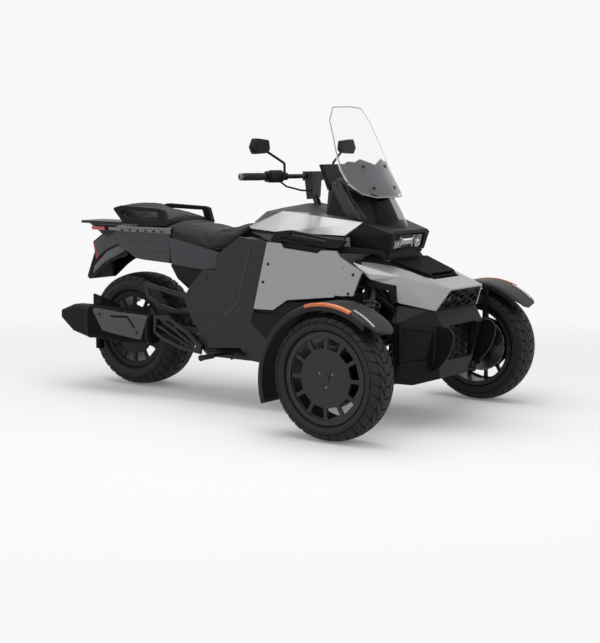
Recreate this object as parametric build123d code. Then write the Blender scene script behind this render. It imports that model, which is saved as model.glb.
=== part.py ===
"""A reverse trike: two steered wheels in front, one driven wheel behind, straddle seats for two.

Millimetres. +X is forward, +Y is left, +Z is up. The origin lies on the floor, under the middle of the
overall length. While it is modelled, X is counted from the front axle: save() moves each piece to the origin.
"""
import os
from math import cos, radians, sin

from build123d import *

os.makedirs("parts", exist_ok=True)

# ---------------------------------------------------------------- driving dimensions
WHEELBASE = 1709
FRONT_OVERHANG = 329
REAR_OVERHANG = 396
TRACK = 1308                      # between the middles of the front tyres
SCREEN_TOP = 1468                 # top of the windshield above the floor

FRONT_TYRE_RADIUS = 281
FRONT_TYRE_WIDTH = 165
REAR_TYRE_RADIUS = 303
REAR_TYRE_WIDTH = 225
RIM_RADIUS = 190.5                # bead seat of a 15 inch rim
FLANGE_HEIGHT = 15
TYRE_WALL = 12
RIM_WALL = 8
SPOKES = 12

BODY_HALF_WIDTH = 320             # outside of the side panels
FRAME_HALF_WIDTH = 150            # middles of the lower frame rails
FRAME_LOW = 235                   # middle of the lower frame rails above the floor
RAIL_RADIUS = 22
BRANCH_RADIUS = 16                # the frame's smaller tubes
BRACKET_RADIUS = 8                # outriggers that hold the body panels
ENGINE_HALF_WIDTH = 124

KINGPIN_INSET = 89                # from the wheel's middle plane inwards to the kingpin
BALL_RISE = 100                   # ball joints above and below the wheel's middle
STEERING_TILT = 22                # of the steering column from upright, leaning back
BAR_RADIUS = 11
BAR_HEIGHT = 1134
GRIP_REACH = 415                  # from the middle to the end of a grip
STEM_RADIUS = 17

SKIN = 4                          # wall of a moulded body panel
PANEL = 10                        # body panel with its ribs
PIN_GAP = 0.3                     # between a pin and its bore
FIT_GAP = 0.2                     # between round pieces that sit on each other
SEAT_GAP = 0.6                    # between a cushion and its neighbours
FENDER_WALL = 4

AFT = -WHEELBASE                  # the rear axle's station
FRONT_AXLE_X = (WHEELBASE + FRONT_OVERHANG + REAR_OVERHANG) / 2 - FRONT_OVERHANG
HALF_TRACK = TRACK / 2
HUB_Z = FRONT_TYRE_RADIUS         # front wheel centre above the floor
REAR_HUB_Z = REAR_TYRE_RADIUS
KINGPIN_Y = HALF_TRACK - KINGPIN_INSET


# ---------------------------------------------------------------- ways of making shapes
def save(name, *pieces):
    """Write one node: its solids, moved from the front axle to the part's origin."""
    solids = [solid for piece in pieces for solid in piece.solids()]
    node = Compound(solids).moved(Location((FRONT_AXLE_X, 0, 0)))
    export_step(node, f"parts/{name}.step")


def other_side(shape):
    """The same piece on the other side of the middle plane."""
    return shape.mirror(Plane.XZ)


def both_sides(shape):
    return [shape, other_side(shape)]


def main_body(shape):
    """The largest solid that is left after a cut."""
    return max(shape.solids(), key=lambda solid: solid.volume)


def outline(points, corner=0):
    """A flat face from its corner points, with every corner rounded."""
    face = Face(Wire.make_polygon(points, close=True))
    if corner:
        face = face.fillet_2d(corner, face.vertices())
    return face


def side_slab(points, y_from, y_to, corner=0):
    """A piece with an outline of (x, z) points, seen from the side, between two planes of y."""
    face = outline([(x, y_from, z) for x, z in points], corner)
    return Solid.extrude(face, Vector(0, y_to - y_from, 0))


def front_slab(points, x_from, x_to, corner=0):
    """A piece with an outline of (y, z) points, seen from the front."""
    face = outline([(x_from, y, z) for y, z in points], corner)
    return Solid.extrude(face, Vector(x_to - x_from, 0, 0))


def plan_slab(points, z_from, z_to, corner=0):
    """A piece with an outline of (x, y) points, seen from above."""
    face = outline([(x, y, z_from) for x, y in points], corner)
    return Solid.extrude(face, Vector(0, 0, z_to - z_from))


def block(x_from, x_to, y_from, y_to, z_from, z_to, corner=0):
    return plan_slab([(x_from, y_from), (x_to, y_from), (x_to, y_to), (x_from, y_to)], z_from, z_to, corner)


def rod(start, end, radius):
    """A round bar between two points."""
    axis = Vector(*end) - Vector(*start)
    return Solid.make_cylinder(radius, axis.length, Plane(origin=start, z_dir=axis))


def tube(points, radius, bend):
    """A round bar bent along a path of points."""
    path = FilletPolyline(*points, radius=bend)
    section = Plane(origin=path @ 0, z_dir=path % 0) * Circle(radius)
    return sweep(section, path=path)


def faceted(points):
    """A moulded form with flat faces, from its corners."""
    return ConvexPolyhedron(points).solid()


def mirrored_points(points):
    return [(x, side * y, z) for x, y, z in points for side in (1, -1)]


def turned(radius_and_offset, arc=360):
    """Turn a closed profile of (radius, offset) points about a line along Y."""
    face = outline([(radius, y, 0) for radius, y in radius_and_offset])
    return revolve(face, Axis.Y, arc)


# ---------------------------------------------------------------- wheels, turned about Y at the origin
BEAD_SHARE = 0.36                 # of the tyre's width, from its middle to a bead
SHOULDER_DROP = 14
RIM_LIP = 8


def tyre(radius, width):
    """A tyre with a crowned tread, round shoulders and bulging walls, open towards the rim."""
    half = width / 2
    bead = BEAD_SHARE * width
    shoulder_r = radius - SHOULDER_DROP
    shoulder_y = 0.43 * width
    foot_r = RIM_RADIUS + FLANGE_HEIGHT
    bulge_r = (foot_r + shoulder_r) / 2
    wall = TYRE_WALL
    with BuildSketch() as section:
        with BuildLine():
            Line((RIM_RADIUS, -bead), (foot_r, -bead))
            ThreePointArc((foot_r, -bead), (bulge_r, -half), (shoulder_r, -shoulder_y))
            ThreePointArc((shoulder_r, -shoulder_y), (radius, 0), (shoulder_r, shoulder_y))
            ThreePointArc((shoulder_r, shoulder_y), (bulge_r, half), (foot_r, bead))
            Polyline((foot_r, bead), (RIM_RADIUS, bead), (RIM_RADIUS, bead - wall), (foot_r, bead - wall))
            ThreePointArc((foot_r, bead - wall), (bulge_r, half - wall), (shoulder_r - wall, shoulder_y - wall))
            ThreePointArc((shoulder_r - wall, shoulder_y - wall), (radius - wall - 3, 0),
                          (shoulder_r - wall, wall - shoulder_y))
            ThreePointArc((shoulder_r - wall, wall - shoulder_y), (bulge_r, wall - half), (foot_r, wall - bead))
            Polyline((foot_r, wall - bead), (RIM_RADIUS, wall - bead), (RIM_RADIUS, -bead))
        make_face()
    return revolve(section.sketch, Axis.Y)


WHEEL_FACE = 12                   # thickness of the wheel's face
PLATE_RADIUS = 129                # the plain plate inside the ring of windows
HUB_RADIUS = 42
SPINDLE_RADIUS = 17
LUG_CIRCLE = 39
LUG_RADIUS = 11
LUG_DEPTH = 7
CAP_RADIUS = 20


def rim(tyre_width, hub_inner, bore):
    """A rim whose outer face looks towards -Y: barrel, flanges, twelve windows and a hub barrel."""
    bead = BEAD_SHARE * tyre_width
    edge = bead + RIM_LIP
    lip = RIM_RADIUS + FLANGE_HEIGHT - 1
    inside = RIM_RADIUS - RIM_WALL
    barrel = turned([(inside, -edge), (lip, -edge), (lip, -bead), (RIM_RADIUS, -bead), (RIM_RADIUS, bead),
                     (lip, bead), (lip, edge), (inside, edge)])
    face_y = 6 - edge
    back_y = face_y + WHEEL_FACE
    face = turned([(0, face_y), (inside, face_y), (inside, back_y), (0, back_y)])
    window = outline([(PLATE_RADIUS, -26, 0), (inside - 8, -37, 0), (inside - 8, 37, 0), (PLATE_RADIUS, 26, 0)], 6)
    window = Solid.extrude(window.moved(Location((0, 0, -20))), Vector(0, 0, 40))
    window = window.rotate(Axis.X, 90).moved(Location((0, face_y + 6, 0)))
    for spoke in range(SPOKES):
        face -= window.rotate(Axis.Y, (spoke + 0.5) * 360 / SPOKES)
    hub = rod((0, face_y, 0), (0, hub_inner, 0), HUB_RADIUS) + rod((0, face_y - 3, 0), (0, face_y, 0), CAP_RADIUS)
    wheel = barrel + face + hub
    wheel -= rod((0, back_y, 0), (0, hub_inner + 1, 0), bore)
    for lug in range(3):
        recess = rod((0, face_y - 1, -LUG_CIRCLE), (0, face_y + LUG_DEPTH, -LUG_CIRCLE), LUG_RADIUS)
        wheel -= recess.rotate(Axis.Y, 120 * lug)
    return wheel


def brake_disc(y, radius, inner, hat, thickness=6):
    """A brake disc with a ring of slots, bolted on the hub."""
    disc = rod((0, y, 0), (0, y + thickness, 0), radius) - rod((0, y - 1, 0), (0, y + thickness + 1, 0), hat)
    middle = (inner + hat) / 2
    slot = rod((0, y - 1, middle), (0, y + thickness + 1, middle), (inner - hat) / 3)
    for hole in range(8):
        disc -= slot.rotate(Axis.Y, 45 * hole)
    return disc


# ---------------------------------------------------------------- front wheels, at the right
FRONT_EDGE = BEAD_SHARE * FRONT_TYRE_WIDTH + RIM_LIP
DISC_Y = 4                        # brake disc from the wheel's middle plane, inwards
HUB_INNER = 22
DISC_OUTER = 135


def at_front_wheel(shape):
    return shape.moved(Location((0, -HALF_TRACK, HUB_Z)))


front_tyre = at_front_wheel(tyre(FRONT_TYRE_RADIUS, FRONT_TYRE_WIDTH))
front_rim = at_front_wheel(rim(FRONT_TYRE_WIDTH, HUB_INNER, SPINDLE_RADIUS + PIN_GAP))
front_disc = at_front_wheel(brake_disc(DISC_Y, DISC_OUTER, 80, HUB_RADIUS + FIT_GAP))
save("tyre_right", front_tyre)
save("tyre_left", other_side(front_tyre))
save("rim_right", front_rim)
save("rim_left", other_side(front_rim))
save("brake_disc_right", front_disc)
save("brake_disc_left", other_side(front_disc))

# ---------------------------------------------------------------- knuckles, at the right
UPRIGHT_Y = -(KINGPIN_Y + 14)     # outer face of the upright
UPRIGHT_INSET = 6                 # of the upright's ends from the ball joints
LUG_HEIGHT = 22
BALL_RADIUS = 19
ARM_EYE = 28                      # height of a suspension arm's eye
STEERING_ARM = 120                # behind the kingpin
ROD_Z = HUB_Z + 10
arm_low = ROD_Z + 16                # underside of a steering arm
upper_ball_z = HUB_Z + BALL_RISE
lower_ball_z = HUB_Z - BALL_RISE
upright_top = upper_ball_z - UPRIGHT_INSET
upright_low = lower_ball_z + UPRIGHT_INSET
upper_lug = rod((0, -KINGPIN_Y, upper_ball_z - LUG_HEIGHT), (0, -KINGPIN_Y, upper_ball_z), BALL_RADIUS)
lower_lug = rod((0, -KINGPIN_Y, lower_ball_z), (0, -KINGPIN_Y, lower_ball_z + LUG_HEIGHT), BALL_RADIUS)
upright = side_slab([(-30, upright_low), (30, upright_low), (46, HUB_Z), (26, upright_top), (-26, upright_top),
                     (-46, HUB_Z)], -KINGPIN_Y - 8, UPRIGHT_Y - 16, 6)
spindle = rod((0, UPRIGHT_Y - 15, HUB_Z), (0, -HALF_TRACK - FRONT_EDGE + 20, HUB_Z), SPINDLE_RADIUS)
steering_arm = plan_slab([(-20, -KINGPIN_Y - 22), (-20, -KINGPIN_Y - 8), (-STEERING_ARM - 12, -KINGPIN_Y + 34),
                          (-STEERING_ARM - 16, -KINGPIN_Y + 12)], arm_low, arm_low + 12)
caliper = side_slab([(-96, HUB_Z + 20), (-40, HUB_Z + 84), (-66, HUB_Z + 132), (-140, HUB_Z + 52)],
                    -HALF_TRACK - 14, -HALF_TRACK + 46, 6)
caliper -= at_front_wheel(rod((0, DISC_Y - 5, 0), (0, DISC_Y + 11, 0), DISC_OUTER + 5))
caliper_bracket = side_slab([(-110, HUB_Z + 60), (-20, HUB_Z + 40), (-10, HUB_Z + 70), (-60, HUB_Z + 110)],
                            -HALF_TRACK + 44, -KINGPIN_Y - 8)

FENDER_RADIUS = 362
FENDER_DROP = 31                  # centre of the fender's curve, below the wheel's centre
FENDER_AHEAD = 8
FENDER_HALF_WIDTH = 95
FENDER_FRONT_ANGLE = 40
FENDER_SWEEP = 158
FENDER_SIDE = 34                  # depth of the fender's side flange
FENDER_TIP = 278                  # front end of the fender, from the axle
STAY = 6
lip_y = -HALF_TRACK + FENDER_HALF_WIDTH
stay_y = lip_y + PIN_GAP
stay_top = HUB_Z - FENDER_DROP + FENDER_RADIUS - 22
stays = [side_slab([(s * 52, HUB_Z - 14), (s * 72, HUB_Z - 14), (s * 90, stay_top - 14), (s * 66, stay_top - 8)],
                   stay_y, stay_y + STAY) for s in (1, -1)]
feet = [block(min(s * 40, s * 70), max(s * 40, s * 70), -KINGPIN_Y - 10, stay_y + STAY, HUB_Z - 14, HUB_Z + 10)
        for s in (1, -1)]
bearing = rod((0, UPRIGHT_Y - 15, HUB_Z), (0, UPRIGHT_Y - 40, HUB_Z), 46)
knuckle = upper_lug + lower_lug + upright + bearing + spindle + steering_arm + caliper + caliper_bracket
for piece in stays + feet:
    knuckle += piece
save("knuckle_right", knuckle)
save("knuckle_left", other_side(knuckle))

# ---------------------------------------------------------------- front fenders, at the right
def fender_arc(profile, sweep):
    """Turn a profile round the fender's centre, back from its front end."""
    arc = turned(profile, arc=sweep).rotate(Axis.Y, -FENDER_FRONT_ANGLE - sweep)
    return arc.moved(Location((FENDER_AHEAD, -HALF_TRACK, HUB_Z - FENDER_DROP)))


foot = FENDER_RADIUS - FENDER_SIDE
crown = FENDER_RADIUS
half = FENDER_HALF_WIDTH
wall = FENDER_WALL
fender = fender_arc([(foot, -half), (crown - 8, 3 - half), (crown - 2, 20 - half), (crown, 0), (crown - 2, half - 20),
                     (crown - 8, half - 3), (foot, half), (foot, half - wall), (crown - 10, half - wall - 3),
                     (crown - 2 - wall, half - 22), (crown - wall, 0), (crown - 2 - wall, 22 - half),
                     (crown - 10, wall + 3 - half), (foot, wall - half)], FENDER_SWEEP)
fender &= plan_slab([(-500, -half - 9), (FENDER_TIP - 93, -half - 9), (FENDER_TIP - 16, -half + 25), (FENDER_TIP, 24),
                     (FENDER_TIP - 10, half - 30), (FENDER_TIP - 68, half + 9), (-500, half + 9)],
                    0, 900, 24).moved(Location((0, -HALF_TRACK, 0)))
save("fender_right", fender)
save("fender_left", other_side(fender))

MARKER_FROM = 67                  # degrees back from level, of the amber marker on the outer shoulder
MARKER_SWEEP = 39
LED_SWEEP = 19
LAMP_RISE = 3                     # of a lamp above the fender
raised_fender = fender.moved(Location((PIN_GAP, -PIN_GAP, PIN_GAP)))
lamp_profile = [(crown - 14, -half + 1), (crown - 3, -half - LAMP_RISE + 1), (crown + 1, -half + 14),
                (crown - 8, -half + 16)]
marker = fender_arc(lamp_profile, MARKER_SWEEP)
marker = marker.moved(Location((-FENDER_AHEAD, HALF_TRACK, FENDER_DROP - HUB_Z)))
marker = marker.rotate(Axis.Y, FENDER_FRONT_ANGLE - MARKER_FROM)
marker = marker.moved(Location((FENDER_AHEAD, -HALF_TRACK, HUB_Z - FENDER_DROP))) - fender - raised_fender
strip_profile = [(crown - 8, -half + 34), (crown + 2, -half + 34), (crown + 2.5, -half + 46), (crown - 8, -half + 46)]
strip = fender_arc(strip_profile, LED_SWEEP)
strip = strip.moved(Location((-FENDER_AHEAD, HALF_TRACK, FENDER_DROP - HUB_Z)))
strip = strip.rotate(Axis.Y, -9)
strip = strip.moved(Location((FENDER_AHEAD, -HALF_TRACK, HUB_Z - FENDER_DROP))) - fender - raised_fender
fender_lamps = [main_body(marker), max(strip.solids(), key=lambda solid: solid.center().Z)]
save("fender_lamps_right", *fender_lamps)
save("fender_lamps_left", *[other_side(lamp) for lamp in fender_lamps])

# ---------------------------------------------------------------- suspension and steering rack
ARM_RADIUS = 13
ARM_DROP = 2                      # of a lower arm's legs below the middle of its eye
PIVOT_FRONT = 45                  # pivots of an arm, from the axle
PIVOT_REAR = -190
PIVOT_Y = 150
PIVOT_RADIUS = 17
PIVOT_HALF = 20
LOW_PIVOT_Z = 215
HIGH_PIVOT_Z = 392


def suspension_arm(ball_z, pivot_z, eye_from, drop):
    """A wishbone: two legs from the pivots on the frame to the eye round the kingpin."""
    eye_y = -KINGPIN_Y
    arm = rod((0, eye_y, eye_from), (0, eye_y, eye_from + ARM_EYE), BALL_RADIUS)
    for x in (PIVOT_FRONT, PIVOT_REAR):
        arm += rod((x, -PIVOT_Y, pivot_z), (x / 12, eye_y + 8, eye_from + ARM_EYE / 2 - drop), ARM_RADIUS)
        arm += rod((x - PIVOT_HALF, -PIVOT_Y, pivot_z), (x + PIVOT_HALF, -PIVOT_Y, pivot_z), PIVOT_RADIUS)
    return arm


upper_arm = suspension_arm(upper_ball_z, HIGH_PIVOT_Z, upper_ball_z + PIN_GAP, 0)
lower_arm = suspension_arm(lower_ball_z, LOW_PIVOT_Z, lower_ball_z - ARM_EYE - PIN_GAP, ARM_DROP)
SHOCK_FOOT = (-30, -430, 212)
SHOCK_TOP = (-60, -235, 640)
cross_bar = rod((-75, SHOCK_FOOT[1], 190), (22, SHOCK_FOOT[1], 190), 14)
save("suspension_arms", *both_sides(upper_arm), *both_sides(lower_arm + cross_bar))

SPRING_RADIUS = 34
SPRING_WIRE = 9
DAMPER_RADIUS = 16


def coil_over(foot, top, low_seat, high_seat, turns):
    """A damper with its coil spring between two seats, at distances from the foot and the top."""
    axis = Vector(*top) - Vector(*foot)
    high = axis.length - high_seat
    pitch = (high - low_seat - 2 * SPRING_WIRE) / turns
    body = Solid.make_cylinder(DAMPER_RADIUS, axis.length, Plane((0, 0, 0)))
    body += Solid.make_cylinder(SPRING_RADIUS - SPRING_WIRE / 4, high - low_seat, Plane((0, 0, low_seat)))
    for seat in (low_seat, high - SPRING_WIRE):
        body += Solid.make_cylinder(SPRING_RADIUS + SPRING_WIRE, SPRING_WIRE, Plane((0, 0, seat)))
    for turn in range(turns):
        middle = low_seat + SPRING_WIRE + (turn + 0.5) * pitch
        body += Solid.make_torus(SPRING_RADIUS, SPRING_WIRE / 2, Plane((0, 0, middle)))
    return body.moved(Location(Plane(origin=foot, z_dir=axis)))


front_shock = coil_over(SHOCK_FOOT, SHOCK_TOP, 60, 80, 8)

RACK_X = -STEERING_ARM - 10
RACK_RADIUS = 24
rack = rod((RACK_X, -140, ROD_Z), (RACK_X, 140, ROD_Z), RACK_RADIUS)
for s in (1, -1):
    rack += rod((RACK_X, s * 130, ROD_Z), (RACK_X, s * (KINGPIN_Y - 23), ROD_Z), 9)
    rack += rod((RACK_X, s * (KINGPIN_Y - 23), ROD_Z - 12), (RACK_X, s * (KINGPIN_Y - 23), arm_low - PIN_GAP), 14)
save("steering_rack", rack)

# ---------------------------------------------------------------- frame, with the steering head
HEAD_X = -555                     # the steering axis crosses this point
HEAD_Z = 1000
HEAD_LOW = -330                   # ends of the stem and of its tube, along the axis
HEAD_HIGH = -150
NECK_WALL = 10
TOP_RAIL_Z = 640
PIVOT_AHEAD = 560                 # swingarm pivot ahead of the rear axle
PIVOT_Z = 335
PIVOT_TUBE = 20
HEAD_BRACE = 30                   # where the braces meet the head, above its lower end
head = Vector(HEAD_X, 0, HEAD_Z)
column = Vector(-sin(radians(STEERING_TILT)), 0, cos(radians(STEERING_TILT)))


def on_column(distance):
    """A point on the steering axis, at a distance above the crossing point."""
    return tuple(head + column * distance)


rail_y = FRAME_HALF_WIDTH
pivot_x = AFT + PIVOT_AHEAD
arm_end = PIVOT_Y - PIVOT_RADIUS
frame = rod((pivot_x, -rail_y, PIVOT_Z), (pivot_x, rail_y, PIVOT_Z), PIVOT_TUBE)
for s in (1, -1):
    frame += tube([(75, s * 100, FRAME_LOW), (-250, s * 108, FRAME_LOW), (-330, s * rail_y, FRAME_LOW),
                   (pivot_x - 6, s * rail_y, FRAME_LOW), (pivot_x - 6, s * rail_y, PIVOT_Z),
                   (pivot_x + 40, s * rail_y, TOP_RAIL_Z)], RAIL_RADIUS, 50)
    frame += tube([(PIVOT_FRONT, s * 100, FRAME_LOW), (PIVOT_FRONT, s * 100, 470), (PIVOT_REAR, s * 110, 630),
                   (pivot_x + 40, s * rail_y, TOP_RAIL_Z)], BRANCH_RADIUS + 2, 60)
    frame += tube([(pivot_x + 120, s * (rail_y - 15), TOP_RAIL_Z), (pivot_x - 60, s * 130, 722),
                   (AFT + 20, s * 70, 792), (AFT - 240, s * 70, 822)], BRANCH_RADIUS, 60)
    frame += rod((PIVOT_REAR, s * 108, FRAME_LOW), (PIVOT_REAR, s * 108, 620), 14)
    frame += rod((SHOCK_TOP[0], s * 105, 560), (SHOCK_TOP[0], s * (-SHOCK_TOP[1] - 22), SHOCK_TOP[2] + 6), 14)
    for x in (PIVOT_FRONT, PIVOT_REAR):
        for z in (LOW_PIVOT_Z, HIGH_PIVOT_Z):
            frame += rod((x, 0, z), (x, s * (arm_end - PIN_GAP), z), 14)
    frame += rod((-700, s * rail_y, FRAME_LOW), (-700, s * ENGINE_HALF_WIDTH, FRAME_LOW), 12)
    frame += rod((-450, s * rail_y, FRAME_LOW), (-450, s * ENGINE_HALF_WIDTH, FRAME_LOW), 12)
    frame += rod(on_column(HEAD_LOW + HEAD_BRACE), (-160, s * 110, 630), 15)
    frame += rod(on_column(HEAD_LOW + HEAD_BRACE), (-700, s * rail_y, TOP_RAIL_Z), 15)
frame += rod(on_column(HEAD_LOW), on_column(HEAD_HIGH), STEM_RADIUS + NECK_WALL)
shock_bar_x = pivot_x + 30
frame += rod((shock_bar_x, -rail_y, TOP_RAIL_Z), (shock_bar_x, rail_y, TOP_RAIL_Z), BRANCH_RADIUS)

# outriggers reach from the rails to the body panels, and end flat on their inner faces
SIDE_INNER = BODY_HALF_WIDTH - 14
LEG_INNER = BODY_HALF_WIDTH - 24
HEEL_INNER = BODY_HALF_WIDTH - 32
SILL_INNER = BODY_HALF_WIDTH - 22
PEG_INNER = 226
RADIATOR_BACK = 165
for s in (1, -1):
    frame += rod((-400, s * 115, 634), (-400, s * SIDE_INNER, 634), BRACKET_RADIUS)
    frame += rod((-850, s * 138, 637), (-850, s * LEG_INNER, 637), BRACKET_RADIUS)
    frame += rod((-1121, s * rail_y, 560), (-1121, s * HEEL_INNER, 560), BRACKET_RADIUS)
    frame += rod((-660, s * rail_y, 245), (-660, s * LEG_INNER, 245), BRACKET_RADIUS)
    frame += rod((PIVOT_REAR, s * 108, 450), (PIVOT_REAR, s * SILL_INNER, 450), BRACKET_RADIUS)
    frame += rod((pivot_x, s * rail_y, 500), (pivot_x, s * PEG_INNER, 500), BRACKET_RADIUS)
    for z in (300, 430):
        frame += rod((PIVOT_FRONT, s * 100, z), (RADIATOR_BACK, s * 100, z), BRACKET_RADIUS)
    frame += rod((PIVOT_REAR, s * 108, ROD_Z), (RACK_X, s * 108, ROD_Z), BRACKET_RADIUS)
frame -= rod((RACK_X, -145, ROD_Z), (RACK_X, 145, ROD_Z), RACK_RADIUS + FIT_GAP)
frame -= rod(on_column(HEAD_LOW - 1), on_column(HEAD_HIGH + 1), STEM_RADIUS + PIN_GAP)

# ---------------------------------------------------------------- nose
NOSE_FRONT = 285                  # upper front edge of the nose
NOSE_TOP = 640
NOSE_LEAN = 0.541                 # back per mm down, of the nose's front face
NOSE_SLOPE = 0.346                # down per mm forward, of the nose's top
NOSE_LIP = 542
LID_BACK = -28
LID_FRONT = 166
LID_LIP = 145                     # front edge of the lid's scoop
SCOOP_RISE = 14
LID_RISE = 12
HOLE_AHEAD = 14                   # room ahead of the lid for its front edge to swing down
LID_SINK = 2                      # underside of the lid, below the nose's top
HINGE_X = 158
HINGE_DROP = 10                   # lid's hinge pin below the nose's top
HINGE_PIN = 3.7
HINGE_BARREL = 8
TUB_WALL = 4
TUB_FLOOR = 579


def nose_top(x):
    """Height of the nose's top surface at a station."""
    return NOSE_TOP + (NOSE_FRONT - x) * NOSE_SLOPE


def nose_face(z):
    """Station of the nose's front face at a height."""
    return NOSE_FRONT - (NOSE_TOP - z) * NOSE_LEAN


nose_corners = mirrored_points([(NOSE_FRONT, 143, NOSE_TOP), (nose_face(NOSE_LIP), 190, NOSE_LIP),
                                (75, 240, 691), (75, 250, 573), (-30, 172, nose_top(-30)), (-155, 280, 747),
                                (-95, 280, 700), (-155, 172, 771)])
nose_form = faceted(nose_corners)
nose_room = faceted(mirrored_points([(NOSE_FRONT - 6, 143 - SKIN, NOSE_TOP - 2),
                                     (nose_face(NOSE_LIP) - 3, 190 - SKIN, NOSE_LIP + SKIN),
                                     (75, 240 - SKIN, 691 - SKIN), (75, 250 - SKIN, 573 + SKIN),
                                     (-30, 172 - SKIN, nose_top(-30) - SKIN), (-155, 280 - SKIN, 747 - SKIN),
                                     (-95, 280 - SKIN, 700 + SKIN), (-155, 172 - SKIN, 771 - SKIN)]))
MOUTH_TOP = 633
mouth = [(-181, NOSE_LIP - 2), (181, NOSE_LIP - 2), (137, MOUTH_TOP), (-137, MOUTH_TOP)]
nose = nose_form - nose_room
nose -= front_slab(mouth, 205, NOSE_FRONT + 40, 6)
nose -= side_slab([(-300, 500), (68, 500), (60, 648), (-10, 660), (-84, 682), (-100, 708), (-300, 708)], -400, 400)
nose -= nose_room.moved(Location((-16, 0, -25)))
lid_plan = [(LID_FRONT, -108), (LID_FRONT, 108), (LID_LIP - 10, 130), (LID_BACK, 162), (LID_BACK, -162),
            (LID_LIP - 10, -130)]
hole_plan = [(LID_FRONT + HOLE_AHEAD, -113), (LID_FRONT + HOLE_AHEAD, 113), (LID_LIP - 8, 138), (LID_BACK - 7, 169),
             (LID_BACK - 7, -169), (LID_LIP - 8, -138)]
nose -= plan_slab(hole_plan, 620, 900)
save("nose_shell", nose)

# a luggage tub hangs by its flange under the nose's top, round the hole for the lid
tub_plan = [(142, -80), (142, 80), (110, 110), (LID_BACK + 10, 135), (LID_BACK + 10, -135), (110, -110)]
room_plan = [(138, -77), (138, 77), (107, 107), (LID_BACK + 14, 131), (LID_BACK + 14, -131), (107, -107)]
flange_plan = [(LID_FRONT + 18, -118), (LID_FRONT + 18, 118), (LID_LIP, 143), (LID_BACK - 14, 174),
               (LID_BACK - 14, -174), (LID_LIP, -143)]
flange = (nose_room - nose_room.moved(Location((0, 0, -3)))) & plan_slab(flange_plan, 620, 780)
tub = (plan_slab(tub_plan, TUB_FLOOR - TUB_WALL, 780) & nose_room) + main_body(flange)
tub -= plan_slab(room_plan, TUB_FLOOR, 800)
tub -= block(143, 200, -200, 200, 640, 800)
hinge_z = nose_top(HINGE_X) - HINGE_DROP
for s in (1, -1):
    tub += block(138, 162, min(s * 62, s * 68), max(s * 62, s * 68), hinge_z - 24, hinge_z + 5)
    tub += rod((HINGE_X, s * 30, hinge_z), (HINGE_X, s * 66, hinge_z), HINGE_PIN)
save("front_trunk", tub)

lid = side_slab([(LID_FRONT, nose_top(LID_FRONT) - LID_SINK), (LID_FRONT, nose_top(LID_FRONT) + 2),
                 (LID_LIP, nose_top(LID_LIP) + SCOOP_RISE), (LID_BACK, nose_top(LID_BACK) + LID_RISE),
                 (LID_BACK, nose_top(LID_BACK) - LID_SINK)], -200, 200) & plan_slab(lid_plan, 600, 820)
lid -= front_slab([(-92, nose_top(LID_LIP) + 1), (92, nose_top(LID_LIP) + 1), (92, nose_top(LID_LIP) + 10),
                   (-92, nose_top(LID_LIP) + 10)], LID_LIP - 50, 200, 3)
for s in (1, -1):
    lid += rod((HINGE_X, s * 36, hinge_z), (HINGE_X, s * 60, hinge_z), HINGE_BARREL)
    lid += block(HINGE_X - 6, HINGE_X + 6, min(s * 36, s * 60), max(s * 36, s * 60), hinge_z, nose_top(HINGE_X) - 1)
lid -= rod((HINGE_X, -90, hinge_z), (HINGE_X, 90, hinge_z), HINGE_PIN + PIN_GAP)
save("trunk_lid", lid)

# ---------------------------------------------------------------- honeycomb grilles
CELL_HALF = 27                    # half the width of a cell
CELL_HEIGHT = 25
CELL_TOP = 24                     # width of a cell's level edges
RIB = 8                           # between two cells
GRILLE = 5                        # thickness of a grille
GRILLE_SET = 3                    # of a grille behind the face round it
GRILLE_BORDER = 7


def honeycomb(plate, field, z_middle, rows, x_from, x_to):
    """Cut staggered six-sided cells through a plate, within a field inside its border."""
    cell = [(-CELL_HALF, 0), (-CELL_TOP / 2, CELL_HEIGHT / 2), (CELL_TOP / 2, CELL_HEIGHT / 2), (CELL_HALF, 0),
            (CELL_TOP / 2, -CELL_HEIGHT / 2), (-CELL_TOP / 2, -CELL_HEIGHT / 2)]
    pitch_y = CELL_HALF + CELL_TOP / 2 + RIB
    pitch_z = CELL_HEIGHT + RIB
    whole = CELL_HALF * CELL_HEIGHT * GRILLE
    for column_number in range(-4, 5):
        for row in range(-rows, rows + 1):
            y = column_number * pitch_y
            z = z_middle + (row + (0.5 if column_number % 2 else 0)) * pitch_z
            prism = front_slab([(y + dy, z + dz) for dy, dz in cell], x_from, x_to)
            opening = prism & field
            cut = opening & plate if opening else None
            if cut and cut.volume > whole / 4:
                plate -= opening
    return plate


low_x = nose_face(NOSE_LIP) - GRILLE_SET
high_x = nose_face(MOUTH_TOP) - GRILLE_SET
sheet = side_slab([(high_x, MOUTH_TOP), (high_x - GRILLE, MOUTH_TOP), (low_x - GRILLE, NOSE_LIP), (low_x, NOSE_LIP)],
                  -200, 200)
upper_plate = sheet & front_slab([(-179.5, NOSE_LIP), (179.5, NOSE_LIP), (136.5, MOUTH_TOP - PIN_GAP),
                                  (-136.5, MOUTH_TOP - PIN_GAP)], 150, 350, 6)
upper_field = front_slab([(-167, NOSE_LIP + GRILLE_BORDER), (167, NOSE_LIP + GRILLE_BORDER),
                          (129, MOUTH_TOP - GRILLE_BORDER), (-129, MOUTH_TOP - GRILLE_BORDER)], 150, 350)
upper_grille = honeycomb(upper_plate, upper_field, 590, 2, 150, 350)

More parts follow.
